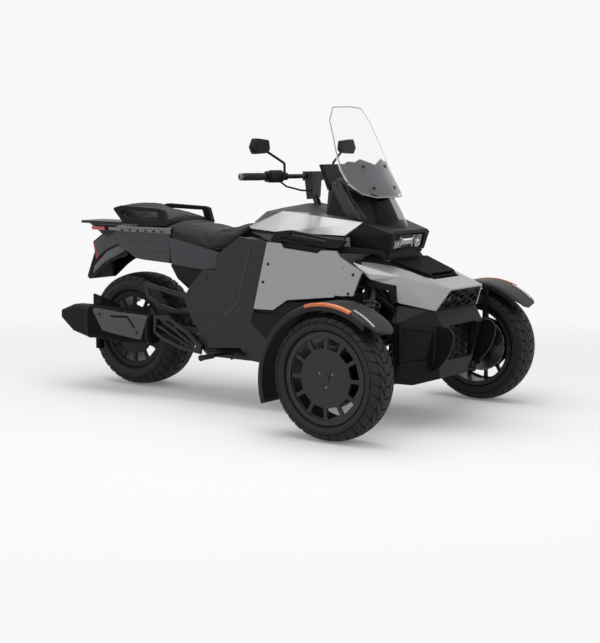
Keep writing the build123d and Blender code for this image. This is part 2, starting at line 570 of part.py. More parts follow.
GRILLE_HALF = 127                 # half the width of the lower grille's opening
LOWER_GRILLE = (306, 472)         # its lower and upper edge
LOWER_GRILLE_X = 224
low, high = LOWER_GRILLE
edge_y = GRILLE_HALF - PIN_GAP
lower_plate = front_slab([(-edge_y, low + PIN_GAP), (edge_y, low + PIN_GAP), (edge_y, high - PIN_GAP),
                          (-edge_y, high - PIN_GAP)], LOWER_GRILLE_X, LOWER_GRILLE_X + GRILLE, 12)
field_y = GRILLE_HALF - GRILLE_BORDER
lower_field = front_slab([(-field_y, low + GRILLE_BORDER), (field_y, low + GRILLE_BORDER),
                          (field_y, high - GRILLE_BORDER), (-field_y, high - GRILLE_BORDER)], 150, 350)
lower_grille = honeycomb(lower_plate, lower_field, (low + high) / 2, 3, 150, 350)
save("grilles", upper_grille, lower_grille)

# ---------------------------------------------------------------- front bumper
BUMPER_WALL = 8
FIN_Y = 194
FIN = 11
bumper_corners = mirrored_points([(216, 186, 552), (270, 180, 465), (236, 150, 299), (216, 120, 222),
                                  (150, 60, 204), (99, 300, 489), (67, 300, 489), (100, 290, 274),
                                  (72, 280, 207), (135, 220, 198), (66, 250, 560)])
bumper_room = faceted([(x - 30 if x < 120 else x - BUMPER_WALL, y * 0.965, z + (8 if z < 300 else -8))
                       for x, y, z in bumper_corners])
bumper = faceted(bumper_corners) - bumper_room - nose_form
bumper -= block(-100, 128, -190, 190, 150, 540)
bumper -= front_slab([(-GRILLE_HALF, low), (GRILLE_HALF, low), (GRILLE_HALF, high), (-GRILLE_HALF, high)],
                     190, 330, 12)
bumper -= upper_plate
bumper = main_body(bumper)
with BuildSketch() as fin_face:
    with BuildLine():
        Line((205, 482), (300, 470))
        ThreePointArc((300, 470), (328, 446), (331, 420))
        ThreePointArc((331, 420), (306, 345), (250, 278))
        Polyline((250, 278), (205, 262), (205, 482))
    make_face()
fin = Solid.extrude(fin_face.sketch.faces()[0].rotate(Axis.X, 90), Vector(0, FIN, 0))
fin = fin.moved(Location((0, -FIN_Y - FIN / 2, 0))) - bumper_room
bumper += main_body(fin)
bumper += other_side(main_body(fin))
frame_ring = front_slab([(-GRILLE_HALF - 6, low - 6), (GRILLE_HALF + 6, low - 6), (GRILLE_HALF + 6, high + 6),
                         (-GRILLE_HALF - 6, high + 6)], LOWER_GRILLE_X - 3, LOWER_GRILLE_X + 14, 14)
frame_ring -= front_slab([(-GRILLE_HALF, low), (GRILLE_HALF, low), (GRILLE_HALF, high), (-GRILLE_HALF, high)],
                         190, 330, 12)
bumper += frame_ring & faceted(bumper_corners)
for s in (1, -1):
    bumper += faceted([(104, s * 306, 486), (88, s * 306, 486), (104, s * 296, 276), (88, s * 296, 276),
                       (104, s * 286, 486), (88, s * 286, 486), (104, s * 276, 276), (88, s * 276, 276)])
save("front_bumper", bumper)
save("radiator", block(RADIATOR_BACK, 200, -140, 140, 245, 480, 6))

# ---------------------------------------------------------------- tank panels
tank_points = [(-831, 190, 889), (-678, 122, 964), (-375, 112, 957), (-165, 185, 927), (-232, 238, 866),
               (-623, 238, 869), (-806, 212, 880)]
tank_right = faceted([(x, -y, z) for x, y, z in tank_points] + [(x, 10 - y, z - 8) for x, y, z in tank_points])
tank_left = other_side(tank_right)

# ---------------------------------------------------------------- headlight
LAMP_HALF = 128
LAMP_BOTTOM = 803
LAMP_TOP = 872
lamp_corners = mirrored_points([(-20, 146, 888), (-16, 162, 876), (-40, 152, 793), (-162, 190, 925),
                                (-226, 205, 863), (-230, 190, 800), (-230, 175, 925)])
housing = faceted(lamp_corners)
pocket = front_slab([(-LAMP_HALF, LAMP_BOTTOM), (LAMP_HALF, LAMP_BOTTOM), (LAMP_HALF - 4, LAMP_TOP),
                     (4 - LAMP_HALF, LAMP_TOP)], -110, 10, 10)
pedestal = faceted(mirrored_points([(-62, 120, 796), (-62, 130, 745), (-150, 150, 796), (-150, 160, 745)]))
housing = housing - pocket + (pedestal - nose_form) - tank_right - tank_left
housing = main_body(housing)
save("headlight_housing", housing)
lens_half = LAMP_HALF - PIN_GAP
lens = front_slab([(-lens_half, LAMP_BOTTOM + PIN_GAP), (lens_half, LAMP_BOTTOM + PIN_GAP),
                   (lens_half - 4, LAMP_TOP - PIN_GAP), (4 - lens_half, LAMP_TOP - PIN_GAP)], -52, -47, 10)
save("headlight_lens", lens)
lamps = [rod((-109.7, s * 66, 838), (-66, s * 66, 838), 28) for s in (1, -1)]
save("headlight_lamps", *lamps)
cheek = faceted([(-262, -262, 806), (-262, -262, 784), (-246, -236, 816), (-60, -160, 802), (-52, -156, 780),
                 (-70, -120, 800), (-70, -120, 778), (-250, -200, 812), (-250, -200, 784)])
cheek = main_body(cheek - nose_form - housing)

# ---------------------------------------------------------------- tank console
console = faceted(mirrored_points([(-825, 60, 956), (-725, 70, 976), (-575, 60, 1002), (-300, 118, 946),
                                   (-690, 126, 957), (-890, 70, 905), (-860, 130, 880), (-300, 118, 880)]))
console = console - tank_right - tank_left - housing
console = main_body(console - rod(on_column(-220), on_column(60), STEM_RADIUS + 8))
save("center_console", console)

# ---------------------------------------------------------------- windshield and fairing
GLASS = 4
SHIELD_HALF = 230


def glass_band(z, x_middle, x_edge, half, wall):
    """A thin bowed section at height z, middle ahead of its edges."""
    with BuildSketch(Plane((0, 0, z))) as section:
        with BuildLine():
            ThreePointArc((x_edge, -half), (x_middle, 0), (x_edge, half))
            Line((x_edge, half), (x_edge - wall, half))
            ThreePointArc((x_edge - wall, half), (x_middle - wall, 0), (x_edge - wall, -half))
            Line((x_edge - wall, -half), (x_edge, -half))
        make_face()
    return section.sketch.faces()[0]


def glass_form(shift, wall):
    """The bowed wall of the windshield, moved back by a shift."""
    bands = ((1030, -120, -208), (1150, -196, -282), (1290, -272, -350), (1480, -384, -446))
    return Solid.make_loft([glass_band(z, x_middle - shift, x_edge - shift, SHIELD_HALF, wall).outer_wire()
                            for z, x_middle, x_edge in bands])


shield_outline = front_slab([(-110, 1036), (110, 1036), (170, 1052), (204, 1104), (210, 1168), (200, 1260),
                             (172, 1400), (120, SCREEN_TOP - 4), (0, SCREEN_TOP), (-120, SCREEN_TOP - 4),
                             (-172, 1400), (-200, 1260), (-210, 1168), (-204, 1104), (-170, 1052)], -600, 0)
save("windshield", glass_form(0, GLASS) & shield_outline)

PLATE = 6                         # plate behind the glass that carries it
plate_outline = front_slab([(-80, 1040), (80, 1040), (118, 1060), (118, 1204), (88, 1216), (0, 1188), (-88, 1216),
                            (-118, 1204), (-118, 1060)], -600, 0)
bracket_plate = main_body(glass_form(GLASS + PIN_GAP, PLATE) & plate_outline)
deflector_bands = ((885, -50, -98, 100), (985, -104, -140, 92), (1052, -146, -176, 76))
deflector = Solid.make_loft([glass_band(z, x_middle, x_edge, half, GLASS).outer_wire()
                             for z, x_middle, x_edge, half in deflector_bands])
deflector = main_body(deflector - housing)
save("lower_wind_deflector", deflector)
fairing_corners = mirrored_points([(-190, 160, 922), (-263, 150, 1074), (-350, 130, 1128), (-420, 120, 945),
                                   (-150, 105, 922), (-196, 80, 1040), (-300, 80, 1120), (-425, 90, 1090)])
fairing = faceted(fairing_corners)
for s in (1, -1):
    fairing += rod((-290, s * 60, 1072), (-145, s * 60, 1072), BRACKET_RADIUS)
fairing = main_body(fairing - console - tank_right - tank_left - housing - bracket_plate - deflector)
fairing = main_body(fairing - bracket_plate.moved(Location((-PIN_GAP, 0, 0))))
save("upper_fairing", fairing, bracket_plate)
cluster = faceted(mirrored_points([(-420, 110, 1070), (-470, 110, 1190), (-400, 110, 1080), (-450, 110, 1192)]))
save("display", main_body(cluster - fairing))

# ---------------------------------------------------------------- side panels, trims and rails
trim = faceted([(-800, -214, 866), (-618, -230, 864), (-232, -230, 864), (-618, -306, 828), (-222, -306, 801),
                (-800, -206, 856), (-618, -222, 856), (-232, -222, 856), (-618, -298, 820), (-222, -298, 793)])
trim = main_body(trim - tank_right - housing)
RAIL_OUTER = 312
RAIL_INNER = 288
side_rail = side_slab([(-579, 876), (-497, 886), (-248, 853), (-173, 849), (-215, 811), (-614, 826)],
                      -RAIL_OUTER, -RAIL_INNER, 8)
side_rail -= side_slab([(-500, 866), (-496, 873), (-288, 846), (-284, 838)], -RAIL_OUTER - 1, -RAIL_INNER + 1)
side_rail -= side_slab([(-548, 848), (-536, 854), (-281, 830), (-290, 806)], -RAIL_OUTER - 1, -RAIL_OUTER + 9)
side_rail -= side_slab([(-545, 824), (-545, 832), (-318, 808), (-318, 800)], -RAIL_OUTER - 1, -RAIL_INNER + 1)
side_rail = main_body(side_rail - trim)
panel = side_slab([(-622, 826), (-538, 822), (-524, 801), (-329, 784), (-304, 799), (-219, 800), (-199, 773),
                   (-78, 711), (-127, 598), (-503, 556), (-587, 503), (-705, 500)],
                  -BODY_HALF_WIDTH, -SIDE_INNER, 5)
panel_ledge = side_slab([(-615, 822), (-235, 797), (-235, 789), (-615, 812)], -SIDE_INNER, -SIDE_INNER + 24)
panel = main_body(panel + panel_ledge - trim - side_rail)
save("side_trims", *both_sides(trim), *both_sides(cheek))
save("tie_down_rails", *both_sides(side_rail))
save("side_panels", *both_sides(panel), tank_right, tank_left)
LEG_OUTER = LEG_INNER + PANEL
LEG_SPLIT = 436                   # seam between the two leg covers
leg = side_slab([(-804, 843), (-626, 823), (-712, 499), (-725, LEG_SPLIT), (-999, LEG_SPLIT),
                 (-996, 543), (-964, 640), (-946, 749)], -LEG_OUTER, -LEG_INNER, 6)
leg_ledge = side_slab([(-796, 838), (-640, 822), (-640, 812), (-796, 828)], -LEG_INNER, -LEG_INNER + 86)
leg = main_body(leg + leg_ledge - trim - panel)
shin = side_slab([(-731, LEG_SPLIT - 1), (-634, 366), (-600, 315), (-601, 231), (-742, 245), (-800, 300),
                  (-1008, 284), (-999, LEG_SPLIT - 1)], -LEG_OUTER, -LEG_INNER, 5)
heel = side_slab([(-1041, 671), (-942, 674), (-995, 543), (-1010, 272), (-1076, 270), (-1075, 366), (-1115, 414),
                  (-1169, 523), (-1125, 590)], -LEG_INNER, -HEEL_INNER, 6)
save("leg_covers", *both_sides(leg), *both_sides(shin), *both_sides(heel))
sill = side_slab([(-300, 560), (-127, 580), (-110, 560), (-150, 400), (-420, 230), (-610, 229), (-610, 320),
                  (-650, 366), (-735, 430), (-720, 480), (-600, 480), (-530, 540)], -SILL_INNER - PANEL,
                 -SILL_INNER, 8)
sill = main_body(sill - panel - leg - shin)
arch_inner = 245
liner = side_slab([(-124, 760), (-95, 709), (-84, 684), (-10, 662), (60, 652), (68, 575), (64, 575), (56, 648),
                   (-12, 657), (-88, 680), (-99, 707), (-128, 758)], -262, -arch_inner + 15)
liner = main_body(liner - nose - panel)
save("lower_cowls", *both_sides(sill), *both_sides(liner))

# ---------------------------------------------------------------- seats
SEAT_SPLIT = -1395                # between the rider's and the passenger's seat
def seat_section(x, half, low, high, crown):
    with BuildSketch(Plane((x, 0, 0), x_dir=(0, 1, 0), z_dir=(1, 0, 0))) as section:
        with BuildLine():
            Polyline((-half, high), (-half, low), (half, low), (half, high))
            ThreePointArc((half, high), (0, high + crown), (-half, high))
        make_face()
    return section.sketch.faces()[0].outer_wire()


rider_seat = Solid.make_loft([seat_section(-915, 70, 860, 894, 8), seat_section(-1000, 150, 775, 852, 10),
                              seat_section(-1110, 185, 750, 832, 14), seat_section(-1290, 188, 750, 830, 14),
                              seat_section(-1345, 186, 789, 850, 14),
                              seat_section(SEAT_SPLIT, 182, 852, 875, 13)], ruled=True)
rider_seat = main_body(rider_seat - console)
save("rider_seat", rider_seat)
PILLION_LOW = 862
PILLION_BACK = -1752
passenger_seat = Solid.make_loft([seat_section(SEAT_SPLIT - SEAT_GAP, 168, PILLION_LOW, 908, 13),
                                  seat_section(-1450, 170, PILLION_LOW, 916, 13),
                                  seat_section(-1620, 168, PILLION_LOW, 924, 13),
                                  seat_section(-1700, 160, PILLION_LOW, 945, 12),
                                  seat_section(PILLION_BACK, 148, PILLION_LOW + 26, 964, 10)], ruled=True)
save("passenger_seat", passenger_seat)
HANDLE_IN = 170
HANDLE_OUT = 194
handle = side_slab([(-1752, 955), (-1688, 970), (-1422, 960), (-1397, 951), (-1370, 873), (-1500, 866),
                    (-1679, 880)], -HANDLE_OUT, -HANDLE_IN, 8)
handle -= side_slab([(-1704, 936), (-1653, 945), (-1439, 940), (-1425, 896), (-1649, 903)], -HANDLE_OUT - 1,
                    -HANDLE_IN + 1, 6)
handle = main_body(handle - passenger_seat - rider_seat)

# ---------------------------------------------------------------- tail
RACK_TOP = 876
RACK_FRONT = -1790
RACK_HALF = 100
RACK_BOLT_X = AFT - 270
RACK_BOLTS = (120, 140)
RACK_BOLT_RADIUS = 4.25
RACK_THICKNESS = 14
SUBFRAME = 10                     # plate under the passenger seat
seat_plate = plan_slab([(-1352, -HANDLE_OUT), (-1352, HANDLE_OUT), (-1700, HANDLE_OUT), (RACK_FRONT - 5, 140),
                        (RACK_FRONT - 5, -140), (-1700, -HANDLE_OUT)], PILLION_LOW - SUBFRAME,
                       PILLION_LOW - PIN_GAP, 12)
rack = plan_slab([(RACK_FRONT, -RACK_HALF), (RACK_FRONT, RACK_HALF), (AFT - REAR_OVERHANG, RACK_HALF - 14),
                  (AFT - REAR_OVERHANG, 14 - RACK_HALF)], RACK_TOP - RACK_THICKNESS, RACK_TOP, 20)
side_rack = [side_slab([(RACK_FRONT + 4, 838), (RACK_FRONT + 4, 852), (-1352, 852), (-1352, 824)], s * 180, s * 190)
             for s in (1, -1)]
rack += seat_plate
rack += faceted(mirrored_points([(RACK_FRONT + 30, 110, PILLION_LOW - 12), (RACK_FRONT - 30, 95, RACK_TOP - 13),
                                 (RACK_FRONT + 30, 110, PILLION_LOW - 1), (RACK_FRONT - 30, 95, RACK_TOP - 1)]))
for side in side_rack:
    for vent in range(6):
        side -= block(-1420 - 56 * vent, -1400 - 56 * vent, -300, 300, 836, 844)
    rack += side
rack -= handle
rack -= other_side(handle)
for x in (-RACK_BOLTS[0] / 2, RACK_BOLTS[0] / 2):
    for y in (-RACK_BOLTS[1] / 2, RACK_BOLTS[1] / 2):
        rack -= rod((RACK_BOLT_X + x, y, RACK_TOP - 20), (RACK_BOLT_X + x, y, RACK_TOP + 8), RACK_BOLT_RADIUS)
rack = main_body(rack - passenger_seat - rider_seat)
save("tail_rack", rack)
save("grab_handles", *both_sides(handle))
tail_side = faceted([(-1802, -170, 804), (-1730, -182, 838), (-1352, -204, 832), (-1336, -206, 787),
                     (-1335, -216, 684), (-1535, -196, 691), (-1595, -190, 697), (-1802, -160, 804),
                     (-1730, -172, 838), (-1352, -194, 832), (-1336, -196, 787), (-1335, -206, 684),
                     (-1535, -186, 691), (-1595, -180, 697)])
tail_side += faceted([(-1352, -204, 815), (-1336, -206, 787), (-1263, -218, 748), (-943, -250, 746),
                      (-966, -250, 680), (-1092, -240, 666), (-1260, -222, 675), (-1352, -206, 684),
                      (-1352, -194, 815), (-1336, -196, 787), (-1263, -208, 748), (-943, -240, 746),
                      (-966, -240, 680), (-1092, -230, 666), (-1260, -212, 675), (-1352, -196, 684)])
tail_side = main_body(tail_side - rack - rider_seat - leg - heel)
save("rear_side_panels", *both_sides(tail_side))
tail_top = RACK_TOP - RACK_THICKNESS
tail = faceted(mirrored_points([(-1700, 158, 800), (-1700, 158, tail_top), (-1860, 150, tail_top),
                                (-1990, 118, tail_top), (-2060, 60, tail_top), (-1875, 130, 800),
                                (-1700, 120, 790)]))
tail -= faceted(mirrored_points([(-1690, 154, 780), (-1690, 154, tail_top - SKIN), (-1858, 146, tail_top - SKIN),
                                 (-1988, 114, tail_top - SKIN), (-2048, 58, tail_top - SKIN),
                                 (-1875, 126, 780)]))
tail = main_body(tail - rack - tail_side - other_side(tail_side) - passenger_seat)
lamp = faceted([(x, y, z) for z in (832, 850)
                for x, y in ((-1852, -155), (-1852, -140), (-1975, -127), (-1975, -112))])
tail = main_body(tail - lamp - other_side(lamp))
save("tail_shell", tail)
save("tail_lamp", *both_sides(lamp))

FENDER_EDGE = 100
mudguard = side_slab([(-1740, 777), (-1770, 800), (-1904, 819), (-1993, 763), (-1981, 711), (-2040, 572),
                      (-2022, 556), (-1986, 582), (-1924, 630), (-1871, 661), (-1740, 700)],
                     -FENDER_EDGE, FENDER_EDGE, 6)
mudguard_room = FENDER_EDGE - 6
mudguard -= side_slab([(-2026, 550), (-1971, 705), (-1981, 758), (-1904, 808), (-1780, 789), (-1730, 760),
                       (-1700, 700), (-1700, 540)], -mudguard_room, mudguard_room)
mudguard = main_body(mudguard - tail - frame - frame.moved(Location((0, 0, -PIN_GAP))))
save("rear_fender", mudguard)


# ---------------------------------------------------------------- rear wheel and swingarm
def at_rear_wheel(shape):
    return shape.moved(Location((AFT, 0, REAR_HUB_Z)))


AXLE_RADIUS = 13
ARM_TUBE = 20
BARREL_RADIUS = 32
ARM_TIP = 30                      # of the swingarm behind the axle
REAR_HUB_INNER = 96
save("rear_tyre", at_rear_wheel(tyre(REAR_TYRE_RADIUS, REAR_TYRE_WIDTH)))
rear_wheel = rim(REAR_TYRE_WIDTH, REAR_HUB_INNER, AXLE_RADIUS + PIN_GAP)
rear_wheel -= rod((0, -110, 0), (0, 0, 0), AXLE_RADIUS + PIN_GAP)
save("rear_rim", at_rear_wheel(rear_wheel))
save("rear_brake_disc", at_rear_wheel(brake_disc(84, 120, 72, HUB_RADIUS + FIT_GAP)))
barrel_half = rail_y - RAIL_RADIUS - 4
arm = rod((pivot_x, -barrel_half, PIVOT_Z), (pivot_x, barrel_half, PIVOT_Z), BARREL_RADIUS)
for s in (1, -1):
    arm += tube([(pivot_x, s * 100, PIVOT_Z), (pivot_x - 50, s * 104, PIVOT_Z), (pivot_x - 180, s * 150, PIVOT_Z),
                 (AFT - ARM_TIP, s * 150, REAR_HUB_Z)], ARM_TUBE, 30)
SHOCK_AFT = 90                    # foot of the rear shock behind the pivot
SHOCK_POST = 50                   # posts that the rear shock stands on and hangs from
SHOCK_LUG = 30
shock_foot = Vector(pivot_x - SHOCK_AFT, 0, PIVOT_Z + 60)
shock_bar = Vector(shock_bar_x, 0, TOP_RAIL_Z)
lean = (shock_bar - shock_foot).normalized()
bridge = shock_foot - lean * SHOCK_POST
shock_top = shock_bar - lean * SHOCK_LUG
arm += rod((bridge.X, -126, bridge.Z), (bridge.X, 126, bridge.Z), ARM_TUBE)
arm += rod(tuple(bridge), tuple(shock_foot), ARM_TUBE - 2)
frame += rod(tuple(shock_top), tuple(shock_bar), BRANCH_RADIUS + 2)
arm -= rod((pivot_x, -300, PIVOT_Z), (pivot_x, 300, PIVOT_Z), PIVOT_TUBE + PIN_GAP)
arm -= rod((AFT, -300, REAR_HUB_Z), (AFT, 300, REAR_HUB_Z), AXLE_RADIUS + PIN_GAP)
axle_half = 178
save("rear_axle", rod((AFT, -axle_half, REAR_HUB_Z), (AFT, axle_half, REAR_HUB_Z), AXLE_RADIUS))
rear_shock = coil_over(tuple(shock_foot), tuple(shock_top), 40, 50, 5)
save("swingarm", arm)
front_shock = main_body(front_shock - frame)
save("shocks", *both_sides(front_shock), rear_shock)
ENGINE_FRONT = -345
ENGINE_BACK = -800
save("engine_block", block(ENGINE_BACK, ENGINE_FRONT, -ENGINE_HALF_WIDTH, ENGINE_HALF_WIDTH, 200, 560, 40) - frame)
save("frame", frame)

# ---------------------------------------------------------------- exhaust
SILENCER_HALF = 54
SILENCER_Y = -300


def silencer_section(x, y, z, half_width, half_height, corner):
    plane = Plane((x, y, z), x_dir=(0, 1, 0), z_dir=(1, 0, 0))
    return (plane * RectangleRounded(2 * half_width, 2 * half_height, corner)).faces()[0].outer_wire()


PIPE_RADIUS = 22
silencer = Solid.make_loft([silencer_section(-1376, -286, 348, 44, 72, 34),
                            silencer_section(-1560, SILENCER_Y, 356, SILENCER_HALF, 86, 34),
                            silencer_section(-1800, SILENCER_Y, 362, SILENCER_HALF, 86, 34)], ruled=True)
cap = Solid.make_loft([silencer_section(-1800, SILENCER_Y, 362, SILENCER_HALF, 86, 30),
                       silencer_section(-1912, SILENCER_Y, 374, 50, 72, 24),
                       silencer_section(-2005, SILENCER_Y, 388, 34, 24, 12)], ruled=True)
pipe = tube([(-620, -124, 290), (-620, -210, 290), (-960, -232, 280), (-1200, -256, 330), (-1300, -286, 348),
             (-1380, -286, 348)], PIPE_RADIUS, 44)
hanger = side_slab([(-1851, 500), (-1851, 380), (-1676, 380), (-1660, 452), (-1676, 460)], -248, -240, 6)
lower_tab = block(-1800, -1770, -285, -255, 214, 285)
save("exhaust", pipe + silencer + cap + hanger + lower_tab)
heat_shield = side_slab([(-1758, 440), (-1383, 418), (-1427, 293), (-1681, 326)], -362, -330, 12)
room_half = SILENCER_HALF + PIN_GAP
heat_shield -= Solid.make_loft([silencer_section(-1300, -282, 346, 42.5, 70.5, 32),
                                silencer_section(-1376, -286, 348, 44.4, 72.4, 34),
                                silencer_section(-1560, SILENCER_Y, 356, room_half, 87, 34),
                                silencer_section(-1800, SILENCER_Y, 362, room_half, 87, 34)], ruled=True)
shield_field = Solid.make_loft([silencer_section(-1376, -286, 348, 49, 80, 34),
                                silencer_section(-1560, SILENCER_Y, 356, 59, 94, 34),
                                silencer_section(-1800, SILENCER_Y, 362, 59, 94, 34)], ruled=True)
save("muffler_heat_shield", main_body(heat_shield & shield_field))
PEG = 10
carrier_loop = side_slab([(-1505, 583), (-1176, 526), (-1105, 508), (-1105, 440), (-1289, 428), (-1386, 450),
                          (-1480, 500)], -PEG_INNER - PEG, -PEG_INNER, 10)
carrier_loop -= side_slab([(-1470, 555), (-1190, 505), (-1180, 465), (-1290, 452), (-1375, 472), (-1455, 515)],
                          -PEG_INNER - PEG - 1, 1 - PEG_INNER, 8)
carrier_loop += side_slab([(-1178, 526), (-1178, 484), (pivot_x + 10, 484), (pivot_x + 10, 514)],
                          -PEG_INNER - PEG, -PEG_INNER)
save("passenger_peg_brackets", *both_sides(carrier_loop))

# ---------------------------------------------------------------- handlebar
BAR_X = -582
GRIP_X = -695
BEND_Y = 145
BAR_BORE = BAR_RADIUS + FIT_GAP
GRIP_RADIUS = 17
POD_RADIUS = 26
bar = tube([(GRIP_X, -GRIP_REACH, BAR_HEIGHT), (BAR_X, -BEND_Y, BAR_HEIGHT), (BAR_X, BEND_Y, BAR_HEIGHT),
            (GRIP_X, GRIP_REACH, BAR_HEIGHT)], BAR_RADIUS, 60)


def on_bar(share):
    """A point on the right grip's line, from its inner end to its outer end."""
    return (BAR_X + (GRIP_X - BAR_X) * share, -BEND_Y + (BEND_Y - GRIP_REACH) * share, BAR_HEIGHT)


grip = rod(on_bar(0.58), on_bar(1.0), GRIP_RADIUS) - rod(on_bar(0.5), on_bar(1.1), BAR_BORE)
save("grips", *both_sides(grip))
MIRROR_STEM = 6
pod = rod(on_bar(0.26), on_bar(0.56), POD_RADIUS) - rod(on_bar(0.2), on_bar(0.7), BAR_BORE)
mirror_stem = tube([(-606, -202, BAR_HEIGHT + 14), (-606, -202, 1196), (-630, -318, 1256)], MIRROR_STEM, 15)
mirror_stem += rod(on_bar(0.17), on_bar(0.25), 18) - rod(on_bar(0.1), on_bar(0.3), BAR_BORE)
save("switch_pods", *both_sides(pod))
riser = rod(on_column(HEAD_LOW), on_column(40), STEM_RADIUS)
riser += faceted(mirrored_points([(-560, 30, 1030), (-600, 30, 1020), (-562, 45, 1150), (-606, 45, 1150)]))
riser += block(-606, -560, -62, 62, 1112, 1156, 8)
riser -= rod((BAR_X, -100, BAR_HEIGHT), (BAR_X, 100, BAR_HEIGHT), BAR_RADIUS)
save("handlebar", riser + bar)
cable = tube([(-622, -232, 1118), (-604, -190, 1086), (-575, -110, 1066), (-568, -30, 1062)], 4.5, 14)
cable = main_body(cable - pod - riser)
save("control_cable", cable)
MIRROR_BACK = -648
mirror_form = [(-424, 1272), (-404, 1240), (-318, 1245), (-298, 1262), (-306, 1306), (-400, 1314)]
mirror_body = front_slab(mirror_form, MIRROR_BACK, -618, 12)
save("mirrors", *both_sides(mirror_body + mirror_stem))
pane_form = [(-361 + (y + 361) * 0.92, 1277 + (z - 1277) * 0.88) for y, z in mirror_form]
mirror_glass = front_slab(pane_form, MIRROR_BACK - 2, MIRROR_BACK, 10)
save("mirror_glass", *both_sides(mirror_glass))
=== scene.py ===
from math import cos, pi, radians, sin

import bmesh
import bpy
from mathutils import Matrix, Vector
from mathutils.bvhtree import BVHTree


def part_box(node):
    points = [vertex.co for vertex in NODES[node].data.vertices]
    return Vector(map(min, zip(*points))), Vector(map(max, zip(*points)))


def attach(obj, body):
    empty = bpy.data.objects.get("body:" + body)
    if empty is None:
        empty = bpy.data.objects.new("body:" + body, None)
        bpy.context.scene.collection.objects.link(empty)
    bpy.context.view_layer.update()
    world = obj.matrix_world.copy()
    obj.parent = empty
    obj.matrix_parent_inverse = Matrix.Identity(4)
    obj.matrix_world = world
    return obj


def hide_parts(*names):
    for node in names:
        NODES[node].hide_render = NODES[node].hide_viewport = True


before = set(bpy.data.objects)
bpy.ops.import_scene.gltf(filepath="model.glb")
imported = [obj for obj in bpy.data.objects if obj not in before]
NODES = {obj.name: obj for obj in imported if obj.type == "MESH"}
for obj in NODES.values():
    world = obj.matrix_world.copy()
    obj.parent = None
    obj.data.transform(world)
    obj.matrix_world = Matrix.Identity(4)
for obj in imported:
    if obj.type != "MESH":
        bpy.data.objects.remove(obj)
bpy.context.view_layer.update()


# ---- Frame, arms and steering gear ----
# The frame is welded steel tube. The wishbones, swingarm, cast knuckles, steering rack and peg brackets are
# bolted to it, and all of them are powder coated black. The rear axle is bare turned steel.
def adjust(thing, **settings):
    """Change some settings of a thing."""
    for name, value in settings.items():
        setattr(thing, name, value)
    return thing


def feed(tree, node, inputs):
    """Give a node its inputs: values, or links from other nodes."""
    for name, value in inputs.items():
        if isinstance(value, bpy.types.NodeSocket):
            tree.links.new(value, node.inputs[name])
        else:
            node.inputs[name].default_value = value


def worked_out(tree, kind, output, inputs, **settings):
    """A link from a new node."""
    node = adjust(tree.nodes.new("ShaderNode" + kind), **settings)
    feed(tree, node, inputs)
    return node.outputs[output]


def mixed(tree, share, first, second):
    """A link with a colour between two, by the share that another link gives."""
    return worked_out(tree, "Mix", "Result", {"Factor": share, "A": first, "B": second}, data_type="RGBA")


def noise(tree, place, scale, detail):
    """A link with a soft cloud or a fine grain."""
    return worked_out(tree, "TexNoise", "Fac", {"Vector": place, "Scale": scale, "Detail": detail})


def finish(name, colour, roughness, metallic=0.0, grain=0.0, scale=900.0, coat=0.0, change=0.04, dust=0.0,
           shine=0.5):
    """A surface with a fine grain and a slow change of gloss, as moulded and painted pieces have."""
    material = bpy.data.materials.new(name)
    material.use_nodes = True
    tree = material.node_tree
    shader = tree.nodes["Principled BSDF"]
    place = worked_out(tree, "TexCoord", "Object", {})
    cloud = noise(tree, place, 9.0, 5.0)
    gloss = worked_out(tree, "MapRange", "Result", {
        "Value": cloud, "To Min": max(roughness - change, 0.02), "To Max": min(roughness + change, 1.0)})
    feed(tree, shader, {
        "Base Color": (*colour, 1), "Metallic": metallic, "Roughness": gloss, "Specular IOR Level": shine,
        "Coat Weight": coat, "Coat Roughness": 0.1})
    if grain:
        bumps = worked_out(tree, "Bump", "Normal", {
            "Height": noise(tree, place, scale, 3.0), "Strength": grain, "Distance": 0.0005})
        feed(tree, shader, {"Normal": bumps})
    if dust:
        dusty = (*[c * (1 + dust) for c in colour], 1)
        feed(tree, shader, {"Base Color": mixed(tree, cloud, (*colour, 1), dusty)})
    return material


def wear(piece, material):
    """Give a piece its one material."""
    piece.data.materials.clear()
    piece.data.materials.append(material)


WIDE_EDGE = 0.006   # metres; an edge rounded wider than this gets a third facet


def soften(piece, width):
    """Round the edges of a moulded piece."""
    adjust(piece.modifiers.new("weld", "WELD"), merge_threshold=0.00002)
    adjust(piece.modifiers.new("edges", "BEVEL"), width=width, segments=3 if width > WIDE_EDGE else 2,
           limit_method="ANGLE", angle_limit=radians(28), use_clamp_overlap=True, harden_normals=True)


def dress(material, *names, edge=0):
    """Give frame nodes their finish, and perhaps rounded edges."""
    for name in names:
        wear(NODES[name], material)
        if edge:
            soften(NODES[name], edge)


frame_black = finish("frame_black", (0.007, 0.007, 0.008), 0.36, grain=0.1, scale=600, shine=0.35)
dark_steel = finish("dark_steel", (0.16, 0.16, 0.165), 0.34, metallic=0.95, grain=0.1, scale=1200)
dress(frame_black, "frame", "suspension_arms", "swingarm", "knuckle_right", "knuckle_left", "steering_rack")
dress(frame_black, "passenger_peg_brackets", edge=0.0015)
dress(dark_steel, "rear_axle")


# ---- Engine and radiator ----
# The engine is cast aluminium with a rough, dusty skin, and sits low in the frame on four mounts. The
# radiator stands on four stays ahead of it.
engine_grey = finish("engine_grey", (0.022, 0.022, 0.024), 0.45, metallic=0.4, grain=0.25, scale=300,
                     dust=0.6)
dress(engine_grey, "engine_block", edge=0.004)
dress(engine_grey, "radiator")


# ---- Shocks ----
# Coil springs of black coated steel over gas dampers, bolted between the frame and the lower wishbones in
# front and the swingarm behind.
spring_black = finish("spring_black", (0.012, 0.012, 0.013), 0.30, metallic=0.3, shine=0.4)
dress(spring_black, "shocks")


